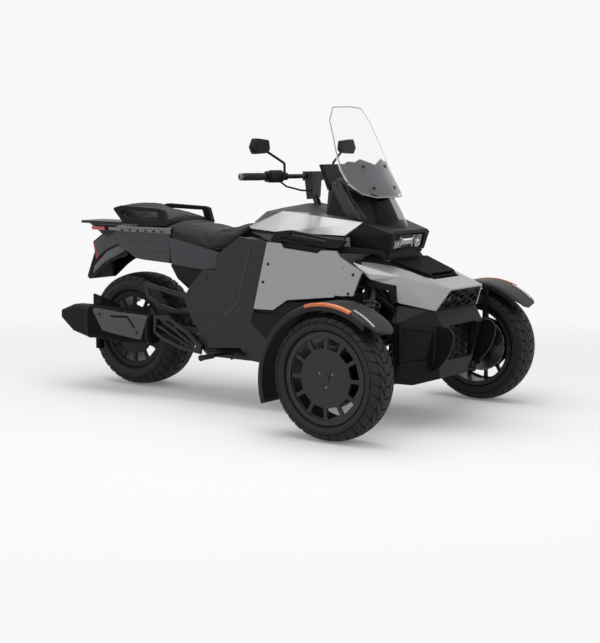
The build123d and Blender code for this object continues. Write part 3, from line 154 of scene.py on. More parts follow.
# ---- Rims and brake discs ----
# The front rims are cast alloy plates with twelve windows, in dark lacquer. The rear rim takes a darker copy
# of that finish, as painted shade for its place under the tail. A drilled disc of ground steel is bolted
# behind each.
wheel_dark = finish("wheel_dark", (0.016, 0.016, 0.017), 0.34, metallic=0.3, grain=0.05, scale=900, coat=0.1,
                    shine=0.4)
# Painted shade: the rear rim's finish is a darker copy of the front rims' one, for the shade under the tail.
rear_rim_painted_shade = finish("rear_rim_painted_shade", (0.008, 0.008, 0.009), 0.42, metallic=0.2, grain=0.05, scale=900,
                        shine=0.25)
disc_steel = finish("disc_steel", (0.13, 0.13, 0.135), 0.3, metallic=1.0, grain=0.15, scale=700)
dress(wheel_dark, "rim_right", "rim_left")
dress(rear_rim_painted_shade, "rear_rim")
dress(disc_steel, "brake_disc_right", "brake_disc_left", "rear_brake_disc")


# ---- Tyres ----
# Moulded rubber: a smooth carcass with rim protector and fine rings on the walls, and rows of slanted tread
# blocks that stand on it, cut by diagonal grooves. The outer rows wrap over the shoulders.
rubber = finish("tyre_rubber", (0.0085, 0.0085, 0.009), 0.60, grain=0.35, scale=1100, dust=0.6, shine=0.3)
AXLE_X = 0.888               # the front axle, ahead of the frame's origin
HUB_RIGHT = (0, -654, 281)   # wheel centres, in millimetres from the front axle, the middle and the ground
HUB_LEFT = (0, 654, 281)
HUB_REAR = (-1709, 0, 303)
FRONT_WIDTH = 0.165          # tyre widths
REAR_WIDTH = 0.225
SHOULDER = 0.43              # share of the width where the tread turns down
CROWN_DROP = 0.014           # how far the tread falls from its middle to a shoulder
TREAD_DEPTH = 0.006
WRAP = 0.022                 # how far the outer blocks reach past a shoulder
BEAD_RADIUS = 0.2055
BARREL_RADIUS = 0.1915       # the carcass's inner face, under the beads
CARCASS_LEAN = 0.9           # radians, where the carcass and the blocks stop leaning
BLOCK_LEAN = 1.2
BLOCK_STEPS = 6              # across a block


def spot(x, y, z):
    """A point from millimetres ahead of the front axle, to the left and up."""
    return Vector((x / 1000 + AXLE_X, y / 1000, z / 1000))


def placed(name, data):
    """A new object in the scene."""
    piece = bpy.data.objects.new(name, data)
    bpy.context.collection.objects.link(piece)
    return piece


def make(name, points, faces, material, body, crease=35):
    """A piece from points and faces, smooth but for edges sharper than the crease, in degrees."""
    mesh = bpy.data.meshes.new(name)
    mesh.from_pydata([tuple(p) for p in points], [], faces)
    mesh.validate()
    turned_out = bmesh.new()
    turned_out.from_mesh(mesh)
    bmesh.ops.recalc_face_normals(turned_out, faces=turned_out.faces)
    turned_out.to_mesh(mesh)
    turned_out.free()
    mesh.shade_smooth()
    mesh.set_sharp_from_angle(angle=radians(crease))
    piece = placed(name, mesh)
    wear(piece, material)
    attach(piece, body)
    return piece


def woven(rows, size, bands, wide):
    """Faces that join rows of so many points: some bands, each some faces wide. Both may close round."""
    return [(k * size + i, k * size + (i + 1) % size, (k + 1) % rows * size + (i + 1) % size,
             (k + 1) % rows * size + i) for k in range(bands) for i in range(wide)]


def lathe(profile, centre, axis, steps, closed=False):
    """Points and faces of a (radius, along) profile turned about an axis through a centre."""
    turn = Vector(axis).normalized().to_track_quat("Z", "Y").to_matrix()
    points = [Vector(centre) + turn @ Vector((r * cos(2 * pi * k / steps), r * sin(2 * pi * k / steps), a))
              for k in range(steps) for r, a in profile]
    size = len(profile)
    return points, woven(steps, size, steps, size if closed else size - 1)


def tread_line(radius, width, s):
    """(radius, across, normal angle) of the tread's face at s metres from its middle."""
    shoulder = SHOULDER * width
    side = 1 if s > 0 else -1
    if abs(s) <= shoulder:
        fall = (s / shoulder) ** 2
        return radius - CROWN_DROP * fall, s, side * 0.35 * fall
    extra = abs(s) - shoulder
    return (radius - CROWN_DROP - 0.93 * extra, side * (shoulder + 0.33 * extra),
            side * (0.35 + 22 * extra))


def tread_block(radius, width, row, block, count):
    """Points (round, round, across) and faces of one block: a bent plate with walls down into the carcass."""
    inner, outer, slant, start = row
    points = []
    for drop in (0, TREAD_DEPTH + 0.001):
        for i in range(BLOCK_STEPS + 1):
            part = i / BLOCK_STEPS
            r, across, lean = tread_line(radius, width, inner + (outer - inner) * part)
            r -= drop * cos(min(abs(lean), BLOCK_LEAN))
            across -= drop * sin(lean)
            notch = 0.10 * (1 - abs(2 * part - 1)) if slant == 0 else 0
            for k in range(4):
                along = (block + start + slant * (part - 0.5) + notch + 0.09 + 0.82 * k / 3) / count
                points.append(Vector((r * cos(2 * pi * along), r * sin(2 * pi * along), across)))
    faces = [(a, a + 1, a + 5, a + 4) for i in range(BLOCK_STEPS) for a in range(i * 4, i * 4 + 3)]
    size = (BLOCK_STEPS + 1) * 4
    edge = ([0, 1, 2, 3] + [i * 4 + 3 for i in range(1, BLOCK_STEPS + 1)]
            + [BLOCK_STEPS * 4 + k for k in (2, 1, 0)] + [i * 4 for i in range(BLOCK_STEPS - 1, 0, -1)])
    faces += [(a, b, b + size, a + size) for a, b in zip(edge, edge[1:] + edge[:1])]
    return points, faces


def build_tyre(name, node, centre, radius, width, body, count):
    """A tyre in place of its frame node, with five rows of so many blocks."""
    shoulder = SHOULDER * width
    bead = 0.36 * width
    carcass = []
    for step in range(-24, 25):
        r, across, lean = tread_line(radius, width, step / 24 * (shoulder + 0.024))
        carcass.append((r - TREAD_DEPTH * cos(min(abs(lean), CARCASS_LEAN)),
                        across - TREAD_DEPTH * sin(lean) * 0.7))
    foot = BEAD_RADIUS
    bulge = (foot + radius - CROWN_DROP) / 2
    wall = [(foot + 0.0005, bead - 0.010), (foot, bead), (foot + 0.004, bead + 0.0055),
            (foot + 0.007, bead + 0.0050), (foot + 0.009, width * 0.455), (foot + 0.014, width * 0.478),
            (bulge - 0.010, width * 0.493), (bulge - 0.006, width * 0.4975), (bulge - 0.004, width * 0.4975),
            (bulge - 0.003, width * 0.4945), (bulge + 0.004, width * 0.494)]
    profile = [(r, -a) for r, a in wall] + [c for c in carcass if c[0] > bulge + 0.006] + wall[::-1]
    profile += [(BARREL_RADIUS, bead - 0.004), (BARREL_RADIUS, 0.004 - bead)]
    points, faces = lathe(profile, centre, (0, 1, 0), 128, closed=True)
    # Each row: inner edge, outer edge, slant and start, the last two in blocks.
    rows = [(-shoulder - WRAP, -0.305 * width, 0.5, 0.0), (-0.285 * width, -0.105 * width, 0.9, 0.5),
            (-0.085 * width, 0.085 * width, 0.0, 0.25), (0.105 * width, 0.285 * width, -0.9, 0.0),
            (0.305 * width, shoulder + WRAP, -0.5, 0.5)]
    turn = Vector((0, 1, 0)).to_track_quat("Z", "Y").to_matrix()
    for row in rows:
        for block in range(count):
            first = len(points)
            corners, sides = tread_block(radius, width, row, block, count)
            points += [Vector(centre) + turn @ corner for corner in corners]
            faces += [tuple(first + i for i in face) for face in sides]
    tyre = make(name, points, faces, rubber, body, crease=30)
    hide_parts(node)


build_tyre("road_tyre_right", "tyre_right", spot(*HUB_RIGHT), 0.281, FRONT_WIDTH, "front_wheel_right", 34)
build_tyre("road_tyre_left", "tyre_left", spot(*HUB_LEFT), 0.281, FRONT_WIDTH, "front_wheel_left", 34)
build_tyre("road_tyre_rear", "rear_tyre", spot(*HUB_REAR), 0.303, REAR_WIDTH, "rear_wheel", 36)


# ---- Wheel bolts and valves ----
# Three hex bolts of bare steel sit in the recesses of each wheel's plate, on one circle round the hub. A
# rubber valve is pulled through the plate near the barrel.
grip_rubber = finish("grip_rubber", (0.009, 0.009, 0.009), 0.62, grain=0.4, scale=1200, shine=0.3)
BOLT_CIRCLE = 0.039
VALVE_CIRCLE = 0.174
VALVE_TURN = 1.3     # radians from the front
PLATE_SHARE = 0.36   # of the tyre's width, from the middle to the plate's face
PLATE_SUNK = 0.005


def turned(name, profile, centre, axis, steps, material, body, crease=35, closed=False):
    """A turned piece from a (radius, along) profile."""
    points, faces = lathe(profile, centre, axis, steps, closed)
    return make(name, points, faces, material, body, crease)


def bolt(name, place, axis, radius, height, body, material, sides=6):
    """A screw with a round flange and a sunk drive."""
    profile = [(0.0001, 0), (radius, 0), (radius, height * 0.35), (radius * 0.86, height * 0.5),
               (radius * 0.84, height), (radius * 0.45, height), (radius * 0.42, height * 0.35),
               (0.0001, height * 0.3)]
    return turned(name, profile, place, axis, sides * 3, material, body, crease=40)


valve = [(0.0001, 0), (0.005, 0), (0.0045, 0.006), (0.0032, 0.008), (0.0032, 0.022), (0.004, 0.0225),
         (0.004, 0.028), (0.0001, 0.029)]
for side, sign, hub, width, body in (("right", -1, spot(*HUB_RIGHT), FRONT_WIDTH, "front_wheel_right"),
                                     ("left", 1, spot(*HUB_LEFT), FRONT_WIDTH, "front_wheel_left"),
                                     ("rear", -1, spot(*HUB_REAR), REAR_WIDTH, "rear_wheel")):
    face = (PLATE_SHARE * width - PLATE_SUNK) * sign
    for lug in range(3):
        turn = radians(120 * lug) * sign
        place = hub + Vector((BOLT_CIRCLE * sin(turn), face, -BOLT_CIRCLE * cos(turn)))
        bolt(f"lug_bolt_{side}_{lug}", place, (0, sign, 0), 0.0085, 0.005, body, dark_steel)
    foot = hub + Vector((VALVE_CIRCLE * cos(VALVE_TURN), face * 0.9, VALVE_CIRCLE * sin(VALVE_TURN)))
    turned(f"valve_{side}", valve, foot, (-0.25, sign, -0.6), 10, grip_rubber, body)


# ---- Front fenders ----
# Grey moulded fenders, bolted to the knuckles so that they turn with the wheels. Along each one's crown lies
# a lamp, an amber marker on the outside and a clear strip inside it.
def lit(name, colour, strength):
    """A lamp's glossy lens that glows a little in its own colour."""
    material = finish(name, colour, 0.2, coat=0.5)
    tree = material.node_tree
    glow = {"Emission Color": (*colour, 1), "Emission Strength": strength}
    feed(tree, tree.nodes["Principled BSDF"], glow)
    return material


def two_tone(name, plain, colour, weights, limit):
    """A copy of a finish that takes another colour where the weighted place passes a limit."""
    material = plain.copy()
    material.name = name
    tree = material.node_tree
    shader = tree.nodes["Principled BSDF"]
    place = worked_out(tree, "TexCoord", "Object", {})
    both_sides = worked_out(tree, "VectorMath", "Vector", {0: place}, operation="ABSOLUTE")
    weighed = worked_out(tree, "VectorMath", "Value", {0: both_sides, 1: weights}, operation="DOT_PRODUCT")
    past = worked_out(tree, "Math", "Value", {0: weighed, 1: limit}, operation="GREATER_THAN")
    tint = mixed(tree, past, shader.inputs["Base Color"].default_value, (*colour, 1))
    feed(tree, shader, {"Base Color": tint})
    if shader.inputs["Emission Strength"].default_value:
        feed(tree, shader, {"Emission Color": tint})
    return material


AMBER = (0.62, 0.13, 0.008)
AMBER_FROM = 0.722   # metres from the middle, where the marker starts
fender_grey = finish("fender_grey", (0.0105, 0.0105, 0.0115), 0.44, grain=0.1, scale=1500, shine=0.22)
marker_clear = lit("marker_clear", (0.30, 0.31, 0.33), 0.10)
fender_lamp = two_tone("fender_lamp", marker_clear, AMBER, (0, 1, 0), AMBER_FROM)
dress(fender_grey, "fender_right", "fender_left", edge=0.0012)
dress(fender_lamp, "fender_lamps_right", "fender_lamps_left")


# ---- Nose, trunk and lid ----
# The nose is one moulded shell in silver metallic paint, over the black tub of the trunk, with a honeycomb
# grille in its mouth. Black plates flank the hinged lid and run back under the headlight.
silver = finish("silver_paint", (0.30, 0.304, 0.312), 0.30, metallic=0.85, grain=0.03, scale=3000, coat=0.35,
                change=0.01)
satin_black = finish("satin_black", (0.005, 0.005, 0.0055), 0.46, grain=0.2, scale=1300, dust=0.3, shine=0.15)
lid_black = finish("lid_black", (0.0035, 0.0035, 0.004), 0.62, grain=0.3, scale=900, shine=0.04)
grille_black = finish("grille_black", (0.0035, 0.0035, 0.004), 0.5, grain=0.1, scale=900, shine=0.1)
dress(silver, "nose_shell", edge=0.008)
dress(satin_black, "front_trunk")
dress(lid_black, "trunk_lid", edge=0.003)
dress(grille_black, "grilles")


def skin(name):
    """A frame node's surface, to lay pieces on."""
    mesh = NODES[name].data
    return BVHTree.FromPolygons([v.co for v in mesh.vertices], [list(p.vertices) for p in mesh.polygons])


MISSED_BY = 0.05     # metres along a line that meets nothing, from where the nearest place is taken
PLATE_STEP = 0.014   # between the points round a raised plate
BAND_STEP = 0.012    # and along a raised strip


def lay(surface, place, direction):
    """Where a line from a place meets a surface, and the way out of it there."""
    hit, normal, _, _ = surface.ray_cast(place, direction)
    if hit is None:
        hit, normal, _, _ = surface.find_nearest(place + direction * MISSED_BY)
    return hit, (normal if normal.dot(direction) < 0 else -normal)


def divided(stops, step):
    """Points along straight runs between stops, about a step apart, without the last stop."""
    line = []
    for start, end in zip(stops, stops[1:]):
        count = max(1, round((end - start).length / step))
        line += [start.lerp(end, k / count) for k in range(count)]
    return line


def crowned(name, surface, outline, direction, height, edge, material):
    """A raised plate that follows a surface inside an outline, crowned towards its middle."""
    direction = Vector(direction)
    line = divided(outline + outline[:1], PLATE_STEP)
    middle = sum(line, Vector()) / len(line)
    # Two rings stand on the outline, one is moved in by the edge's width, and two run to the middle.
    rings = [(line, -0.25), (line, 0.45), ([p + (middle - p).normalized() * edge for p in line], 1.0),
             ([p.lerp(middle, 0.4) for p in line], 1.25), ([p.lerp(middle, 0.7) for p in line], 1.4)]
    points = [lay(surface, place, direction)[0] - direction * rise * height
              for ring, rise in rings for place in ring]
    size = len(line)
    faces = woven(5, size, 4, size) + [tuple(range(4 * size, 5 * size)), tuple(range(size))]
    return make(name, points, faces, material, "chassis", crease=50)


SIDES = (("right", -1), ("left", 1))
nose_top = skin("nose_shell")
cowl_plan = ((-148, 168), (-148, 258), (-70, 218), (20, 180), (118, 150), (130, 143), (60, 158), (-34, 174))
for side, sign in SIDES:
    corners = [spot(x, sign * y, 900) for x, y in cowl_plan]
    crowned("nose_cowl_" + side, nose_top, corners, (0, 0, -1), 0.003, 0.004, lid_black)


# ---- Arch trim ----
# A black moulded flange is clipped along the silver nose's lower edge on each side. It finishes the edge
# above the front suspension, clear of the fenders as they turn.
def side_view(plan, y):
    """Points of a side view (x, z) at one distance from the middle."""
    return [spot(x, y, z) for x, z in plan]


def pressed(name, outline, depth, edge, material, body="chassis", hole=None):
    """An outline pushed out along a vector, with its edges rounded and perhaps a hole of as many corners."""
    solid = bmesh.new()
    outer = [solid.verts.new(p) for p in outline]
    if hole:
        inner = [solid.verts.new(p) for p in hole]
        count = len(outer)
        flat = [solid.faces.new((outer[i], outer[(i + 1) % count], inner[(i + 1) % count], inner[i]))
                for i in range(count)]
    else:
        flat = [solid.faces.new(outer)]
    pushed = bmesh.ops.extrude_face_region(solid, geom=flat, use_keep_orig=True)
    moved = [v for v in pushed["geom"] if isinstance(v, bmesh.types.BMVert)]
    bmesh.ops.translate(solid, vec=Vector(depth), verts=moved)
    bmesh.ops.recalc_face_normals(solid, faces=solid.faces)
    sharp = [e for e in solid.edges if len(e.link_faces) == 2 and e.calc_face_angle() > radians(25)]
    bmesh.ops.bevel(solid, geom=sharp, offset=edge, segments=2, profile=0.6, affect="EDGES",
                    clamp_overlap=True)
    solid.verts.index_update()
    points = [v.co.copy() for v in solid.verts]
    faces = [tuple(v.index for v in f.verts) for f in solid.faces]
    solid.free()
    return make(name, points, faces, material, body, crease=30)


arch = ((-128, 764), (-99, 712), (-88, 684), (-12, 662), (58, 652), (68, 576), (50, 562), (36, 626),
        (-22, 634), (-114, 656), (-127, 696), (-152, 752))
for side, sign in SIDES:
    pressed("arch_trim_" + side, side_view(arch, sign * 262.5), (0, sign * 0.009, 0), 0.002, satin_black)


# ---- Front bumper and lower cowls ----
# Black moulded plastic, screwed to the frame's front tubes. Each wing of the bumper has a deep rim round a
# flat recess, and the cowls close the belly behind it.
dress(satin_black, "front_bumper", edge=0.003)
dress(satin_black, "lower_cowls", edge=0.002)


def band(name, surface, path, direction, width, height, material, closed=False):
    """A raised strip that follows a surface under a path laid out ahead of it."""
    direction = Vector(direction)
    stops = path + path[:1] if closed else path
    line = divided(stops, BAND_STEP)
    if not closed:
        line.append(stops[-1])
    size = len(line)
    section = ((-0.5, -0.3), (-0.5, 0.5), (-0.34, 1), (0.34, 1), (0.5, 0.5), (0.5, -0.3))
    points = []
    for k, place in enumerate(line):
        before = line[k - 1] if closed or k else line[0]
        after = line[(k + 1) % size] if closed or k < size - 1 else line[k]
        across = (after - before).cross(direction).normalized()
        hit, out = lay(surface, place, direction)
        for offset, rise in section:
            foot, _ = lay(surface, place + across * offset * width, direction)
            if (foot - hit).length > width:
                foot = hit + across * offset * width
            points.append(foot + out * rise * height)
    count = len(section)
    faces = woven(size, count, size if closed else size - 1, count)
    if not closed:
        faces += [tuple(range(count)), tuple(range((size - 1) * count, size * count))]
    return make(name, points, faces, material, "chassis")


wing = skin("front_bumper")
for side, sign in SIDES:
    top_out, low_out = spot(99, sign * 300, 489), spot(100, sign * 290, 274)
    low_in, top_in = spot(236, sign * 150, 299), spot(270, sign * 180, 465)
    facing = (top_in - top_out).cross(low_out - top_out).normalized()
    facing = facing if facing.x > 0 else -facing
    rim = [top_out.lerp(top_in, u).lerp(low_out.lerp(low_in, u), v) + facing * 0.05
           for u, v in ((0.08, 0.07), (0.07, 0.90), (0.80, 0.90), (0.84, 0.07))]
    band("wing_rim_" + side, wing, rim, -facing, 0.020, 0.011, satin_black, closed=True)


# ---- Headlamps ----
# Two round stepped reflectors stand in bright rings on a black mask, under a clear lens that follows the
# slope of the moulded housing. A silver bridge with slanted arms joins them, with a lit strip on it.
def see_through(name, colour, ior=1.15):
    """Clear or smoked plastic with a polished face."""
    material = bpy.data.materials.new(name)
    material.use_nodes = True
    tree = material.node_tree
    feed(tree, tree.nodes["Principled BSDF"], {
        "Base Color": (*colour, 1), "Roughness": 0.04, "Transmission Weight": 1.0, "IOR": ior})
    return material


LAMP_OUT = 95                          # millimetres from the middle to a lamp
LAMP_MIDDLE = 838                      # height of the lens's middle, in millimetres
FACING = Vector((0.96, 0, -0.28))      # the way the lens and the lamps face


def behind_lens(y, z, back):
    """A place some millimetres behind the outside of the sloping lens."""
    return spot(-42 + (z - 803) * 0.29 - back, y, z)


lens_glass = see_through("lens_glass", (0.97, 0.98, 0.99), ior=1.2)
white_lamp = lit("white_lamp", (0.80, 0.84, 0.88), 0.6)
chrome = finish("lamp_chrome", (0.72, 0.73, 0.75), 0.14, metallic=1.0, change=0.02)
reflector = finish("lamp_reflector", (0.30, 0.305, 0.32), 0.16, metallic=1.0, change=0.02)
screen_black = finish("screen_black", (0.005, 0.005, 0.006), 0.45, shine=0.15)
dress(satin_black, "headlight_housing", edge=0.003)
dress(lens_glass, "headlight_lens")
dress(chrome, "headlight_lamps")
skirt = ((126, 798), (160, 798), (167, 772), (152, 742), (126, 742))
mask = ((-123, 867), (123, 867), (126, 862), (126, 812), (122, 807), (-122, 807), (-126, 812), (-126, 862))
pane = [(y * 1.006, LAMP_MIDDLE + (z - LAMP_MIDDLE) * 1.02) for y, z in mask]
lens = pressed("headlight_glass", [behind_lens(y, z, 3) for y, z in pane], FACING * 0.003, 0.0008, lens_glass)
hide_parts("headlight_lens")
pressed("lamp_mask", [behind_lens(y, z, 20) for y, z in mask], FACING * 0.002, 0.0005, screen_black)
ring = [(0.0240, 0), (0.0300, 0), (0.0300, 0.006), (0.0285, 0.011), (0.026, 0.011), (0.0240, 0.006)]
bowl = [(0.0001, 0.001), (0.008, 0.001), (0.009, 0.007), (0.012, 0.0075), (0.0125, 0.0015), (0.016, 0.002),
        (0.0165, 0.005), (0.020, 0.006), (0.0205, 0.0075), (0.0235, 0.0085), (0.0250, 0.0095)]
bead = [(0.0001, 0.0075), (0.004, 0.007), (0.0065, 0.005), (0.0078, 0.001)]
for side, sign in SIDES:
    corners = [spot(-66, sign * y, z) for y, z in skirt]
    pressed("housing_skirt_" + side, corners, (-0.070, 0, 0), 0.003, satin_black)
    centre = behind_lens(sign * LAMP_OUT, 837, 18)
    turned("lamp_ring_" + side, ring, centre, FACING, 40, chrome, "chassis", closed=True)
    turned("lamp_bowl_" + side, bowl, centre, FACING, 40, reflector, "chassis", crease=20)
    turned("lamp_bead_" + side, bead, centre, FACING, 24, white_lamp, "chassis")
bars = ((-64, 866), (-54, 866), (-37, 850), (37, 850), (54, 866), (64, 866), (49, 837), (64, 808), (54, 808),
        (37, 824), (-37, 824), (-54, 808), (-64, 808), (-49, 837))
pressed("lamp_bridge", [behind_lens(y, z, 18) for y, z in bars], FACING * 0.009, 0.0018, silver)
slit = ((-37, 848.5), (37, 848.5), (34, 841.5), (-34, 841.5))
pressed("lamp_strip", [behind_lens(y, z, 9.2) for y, z in slit], FACING * 0.002, 0.0008, white_lamp)


# ---- Windshield and deflector ----
# The windshield is one bent clear sheet with a polished edge, drawn with a grey strip of painted highlight.
# It is screwed through washers to its carrier plate. A smoked deflector stands under it, and plates back its
# lower corners, their grey a painted reflection of the glass over dark plastic.
SCREW_HEAD = 0.004
SCREW_SUNK = 0.0006


def screw(name, surface, place, direction, radius=0.0075):
    """A dark button screw driven into a surface."""
    hit, out = lay(surface, place, Vector(direction))
    return bolt(name, hit - out * SCREW_SUNK, out, radius, SCREW_HEAD, "chassis", frame_black)


screen_glass = see_through("screen_glass", (0.96, 0.975, 0.98))
smoked_glass = see_through("smoked_glass", (0.30, 0.31, 0.33), ior=1.2)
# Painted highlight: the grey strip along the glass edge stands for the light on its polished edge.
edge_painted_highlight = finish("screen_edge_painted_highlight", (0.30, 0.30, 0.31), 0.4, shine=0.2)
# Painted reflection: the plates behind the glass are dark plastic, painted grey for the glass over them.
plate_painted_reflection = finish("plate_painted_reflection", (0.11, 0.11, 0.115), 0.46, grain=0.2, scale=1300, shine=0.2)
dress(screen_glass, "windshield")
dress(smoked_glass, "lower_wind_deflector")
screen = skin("windshield")
for number, (y, z) in enumerate(((-88, 1082), (88, 1082), (-92, 1182), (92, 1182))):
    screw(f"screen_screw_{number}", screen, spot(100, y, z), (-1, 0, 0), 0.009)
glass_edge = ((-106, 1040), (106, 1040), (166, 1056), (200, 1106), (206, 1168), (196, 1259), (168, 1398),
              (117, 1460), (0, 1464), (-117, 1460), (-168, 1398), (-196, 1259), (-206, 1168), (-200, 1106),
              (-166, 1056))
# The strip of painted highlight, laid along the glass edge.
band("screen_edge_painted_highlight", screen, [spot(100, y, z) for y, z in glass_edge], (-1, 0, 0), 0.0045, 0.001, edge_painted_highlight,
     closed=True)
wing_plan = ((120, 1202), (160, 1206), (200, 1184), (205, 1150), (198, 1108), (166, 1060), (120, 1048))
# Plates behind the glass's lower corners, in the grey of painted reflection.
for side, sign in SIDES:
    corners = [spot(-600, sign * y, z) for y, z in wing_plan]
    crowned("screen_wing_" + side, screen, corners, (1, 0, 0), 0.004, 0.004, plate_painted_reflection)


# ---- Fairing, display and console ----
# The black moulded fairing carries the display and, ahead of it, the windshield's plate of dark plastic,
# painted grey as a painted reflection of the glass over it. A rounded duct runs down each of its sides beside
# a deep groove. The console below, over the tank, is charcoal.
charcoal = finish("moulded_charcoal", (0.022, 0.022, 0.024), 0.48, grain=0.3, scale=1500, dust=0.2,
                  shine=0.35)
# Painted reflection: past this edge the fairing is painted grey for the glass in front of its dark plate.
PAINTED_REFLECTION_FROM = 1.498   # the weighted place of the plate's rear edge
fairing_black_painted_reflection = two_tone("fairing_black_painted_reflection", satin_black, (0.11, 0.11, 0.115), (1, 0, 0.75), PAINTED_REFLECTION_FROM)
dress(fairing_black_painted_reflection, "upper_fairing", edge=0.003)
dress(screen_black, "display", edge=0.003)
dress(charcoal, "center_console", edge=0.004)
fairing = skin("upper_fairing")
BESIDE = 300   # millimetres from the middle, beside the fairing and the tail
duct = ((-398, 1108), (-372, 1132), (-334, 1126), (-206, 966), (-196, 936), (-262, 932), (-300, 968))
groove = ((-300, 1118), (-268, 1062), (-182, 940))
for side, sign in SIDES:
    inwards = Vector((0, -sign, 0))
    crowned("fairing_duct_" + side, fairing, side_view(duct, sign * BESIDE), inwards, 0.012, 0.010, charcoal)
    band("fairing_groove_" + side, fairing, side_view(groove, sign * BESIDE), inwards, 0.010, 0.003,
         frame_black)


# ---- Side panels, trims and rails ----
# The silver side panels are moulded plates, held by four dark screws each, with a low ridge pressed along
# their screws and another under their upper edge. Black trims and tie-down rails run above them.
dress(silver, "side_panels", edge=0.008)
dress(satin_black, "side_trims", edge=0.0025)
dress(satin_black, "tie_down_rails", edge=0.0015)
panel = skin("side_panels")
OUTSIDE = 500   # millimetres from the middle, outside every cover
panel_ridge = ((-650, 603), (-146, 582))
panel_brow = ((-622, 792), (-300, 764), (-180, 726))
bed = ((-545, 825), (-545, 819), (-526, 799), (-330, 782), (-300, 795), (-262, 799), (-262, 804))
for side, sign in SIDES:
    inwards = Vector((0, -sign, 0))
    for number, (x, z) in enumerate(((-616, 721), (-647, 633), (-154, 606), (-127, 695))):
        screw(f"panel_screw_{side}_{number}", panel, spot(x, sign * OUTSIDE, z), inwards)
    band("panel_ridge_" + side, panel, side_view(panel_ridge, sign * OUTSIDE), inwards, 0.016, 0.0022,
         silver)
    band("panel_brow_" + side, panel, side_view(panel_brow, sign * OUTSIDE), inwards, 0.013, 0.002, silver)
    pressed("rail_bed_" + side, side_view(bed, sign * 306.2), (0, sign * 0.0012, 0), 0.0003, satin_black)


# ---- Leg covers ----
# Dark moulded covers over the frame's sides, screwed to its outriggers, with purplish heel panels behind.
# Raised dark strips of painted shade stand for the narrow gaps between leg, heel and shin cover, and black
# covers inside close the openings beside them.
heel_grey = finish("heel_grey", (0.024, 0.023, 0.027), 0.46, grain=0.3, scale=1500, dust=0.2, shine=0.3)
HEEL_WITHIN = 0.2955   # metres from the middle: the heel panels lie inside it, the leg covers outside
leg_cover = two_tone("leg_cover", heel_grey, (0.017, 0.017, 0.019), (0, 1, 0), HEEL_WITHIN)
dress(leg_cover, "leg_covers", edge=0.003)
leg = skin("leg_covers")
leg_ridge = ((-735, 800), (-812, 520), (-900, 448))
seams = (((-1004, 440), (-1001, 545), (-970, 642), (-953, 672)), ((-1013, 292), (-1005, 432)),
         ((-995, 435.5), (-727, 435.5)), ((-722, 436), (-640, 374), (-606, 318)))
inner_cover = ((-1352, 672), (-1310, 700), (-1140, 692), (-1052, 692), (-1048, 640), (-1116, 566),
               (-1214, 544), (-1306, 604))
sill_cover = ((-738, 452), (-738, 520), (-604, 530), (-506, 582), (-478, 560), (-548, 452))
for side, sign in SIDES:
    inwards = Vector((0, -sign, 0))
    screw("heel_screw_" + side, leg, spot(-1020, sign * OUTSIDE, 632), inwards, 0.008)
    band("leg_ridge_" + side, leg, side_view(leg_ridge, sign * OUTSIDE), inwards, 0.012, 0.002, charcoal)
    # Painted shade: raised dark strips stand for the shade in the gaps between the covers.
    for number, seam in enumerate(seams):
        band(f"cover_seam_{side}_{number}", leg, side_view(seam, sign * OUTSIDE), inwards, 0.005, 0.0008,
             frame_black)
    pressed("inner_cover_" + side, side_view(inner_cover, sign * 182), (0, sign * 0.006, 0), 0.002,
            satin_black)
    pressed("sill_cover_" + side, side_view(sill_cover, sign * 289), (0, sign * 0.006, 0), 0.002, satin_black)


# ---- Handlebar, grips and mirrors ----
# A black steel bar with soft rubber sleeves, ringed and flanged, and a metal weight in each end. Moulded
# switch housings with rubber buttons sit inside the grips, and mirrors in black shells stand on clamps.
mirror_face = finish("mirror_face", (0.80, 0.81, 0.83), 0.03, metallic=1.0, change=0.01)
dress(frame_black, "handlebar", "control_cable")
dress(grip_rubber, "grips")
dress(satin_black, "switch_pods")
dress(satin_black, "mirrors", edge=0.012)
dress(mirror_face, "mirror_glass")
RING_PITCH = 0.009
HOUSING_FROM = 0.29     # share of the way out along the bar's end
HOUSING_LENGTH = 0.062
BUTTON_BACK = 0.0278    # from the bar to a button's foot
ribs = [(0.0166, 0.0)]
for k in range(11):
    at = 0.002 + RING_PITCH * k
    ribs += [(0.0176, at), (0.0182, at + 0.0015), (0.0182, at + 0.0045), (0.0176, at + 0.006)]
ribs += [(0.0166, 0.101)]
case = ((-27, -20), (-29, 12), (-12, 29), (17, 31), (33, 14), (34, -12), (18, -29), (-12, -29))
weight = [(0.0001, 0.0), (0.0165, 0.0), (0.0172, 0.002), (0.0172, 0.012), (0.015, 0.015), (0.006, 0.0155),
          (0.0055, 0.012), (0.0001, 0.0115)]
for side, sign in SIDES:
    inner, outer = spot(-582, sign * 145, 1134), spot(-695, sign * 415, 1134)
    along = (outer - inner).normalized()
    fore = Vector((-along.y, along.x, 0)) * -sign
    turned("grip_ribs_" + side, ribs, outer - along * 0.108, along, 28, grip_rubber, "steering",
           crease=25, closed=True)
    start = inner.lerp(outer, HOUSING_FROM)
    corners = [start + fore * (a / 1000) + Vector((0, 0, b / 1000)) for a, b in case]
    pressed("switch_case_" + side, corners, along * HOUSING_LENGTH, 0.005, satin_black, "steering")
    for number, (out, rise) in enumerate(((0.36, 8), (0.44, 6), (0.40, -8))):
        place = inner.lerp(outer, out) - fore * BUTTON_BACK + Vector((0, 0, rise / 1000))
        bolt(f"switch_button_{side}_{number}", place, -fore, 0.0055, 0.004, "steering",
             grip_rubber, sides=8)
    turned("bar_weight_" + side, weight, outer - along * 0.0005, along, 28, dark_steel, "steering",
           crease=30)


# ---- Exhaust and heat shield ----
# The muffler is black coated steel with a lighter end cap, and black bands clamp its ends. The grey pressed
# heat shield has a dark line across it and two screws.
CORNER = 0.034   # radius of the muffler's rounded corners
AROUND = 36      # points round it, nine to a corner


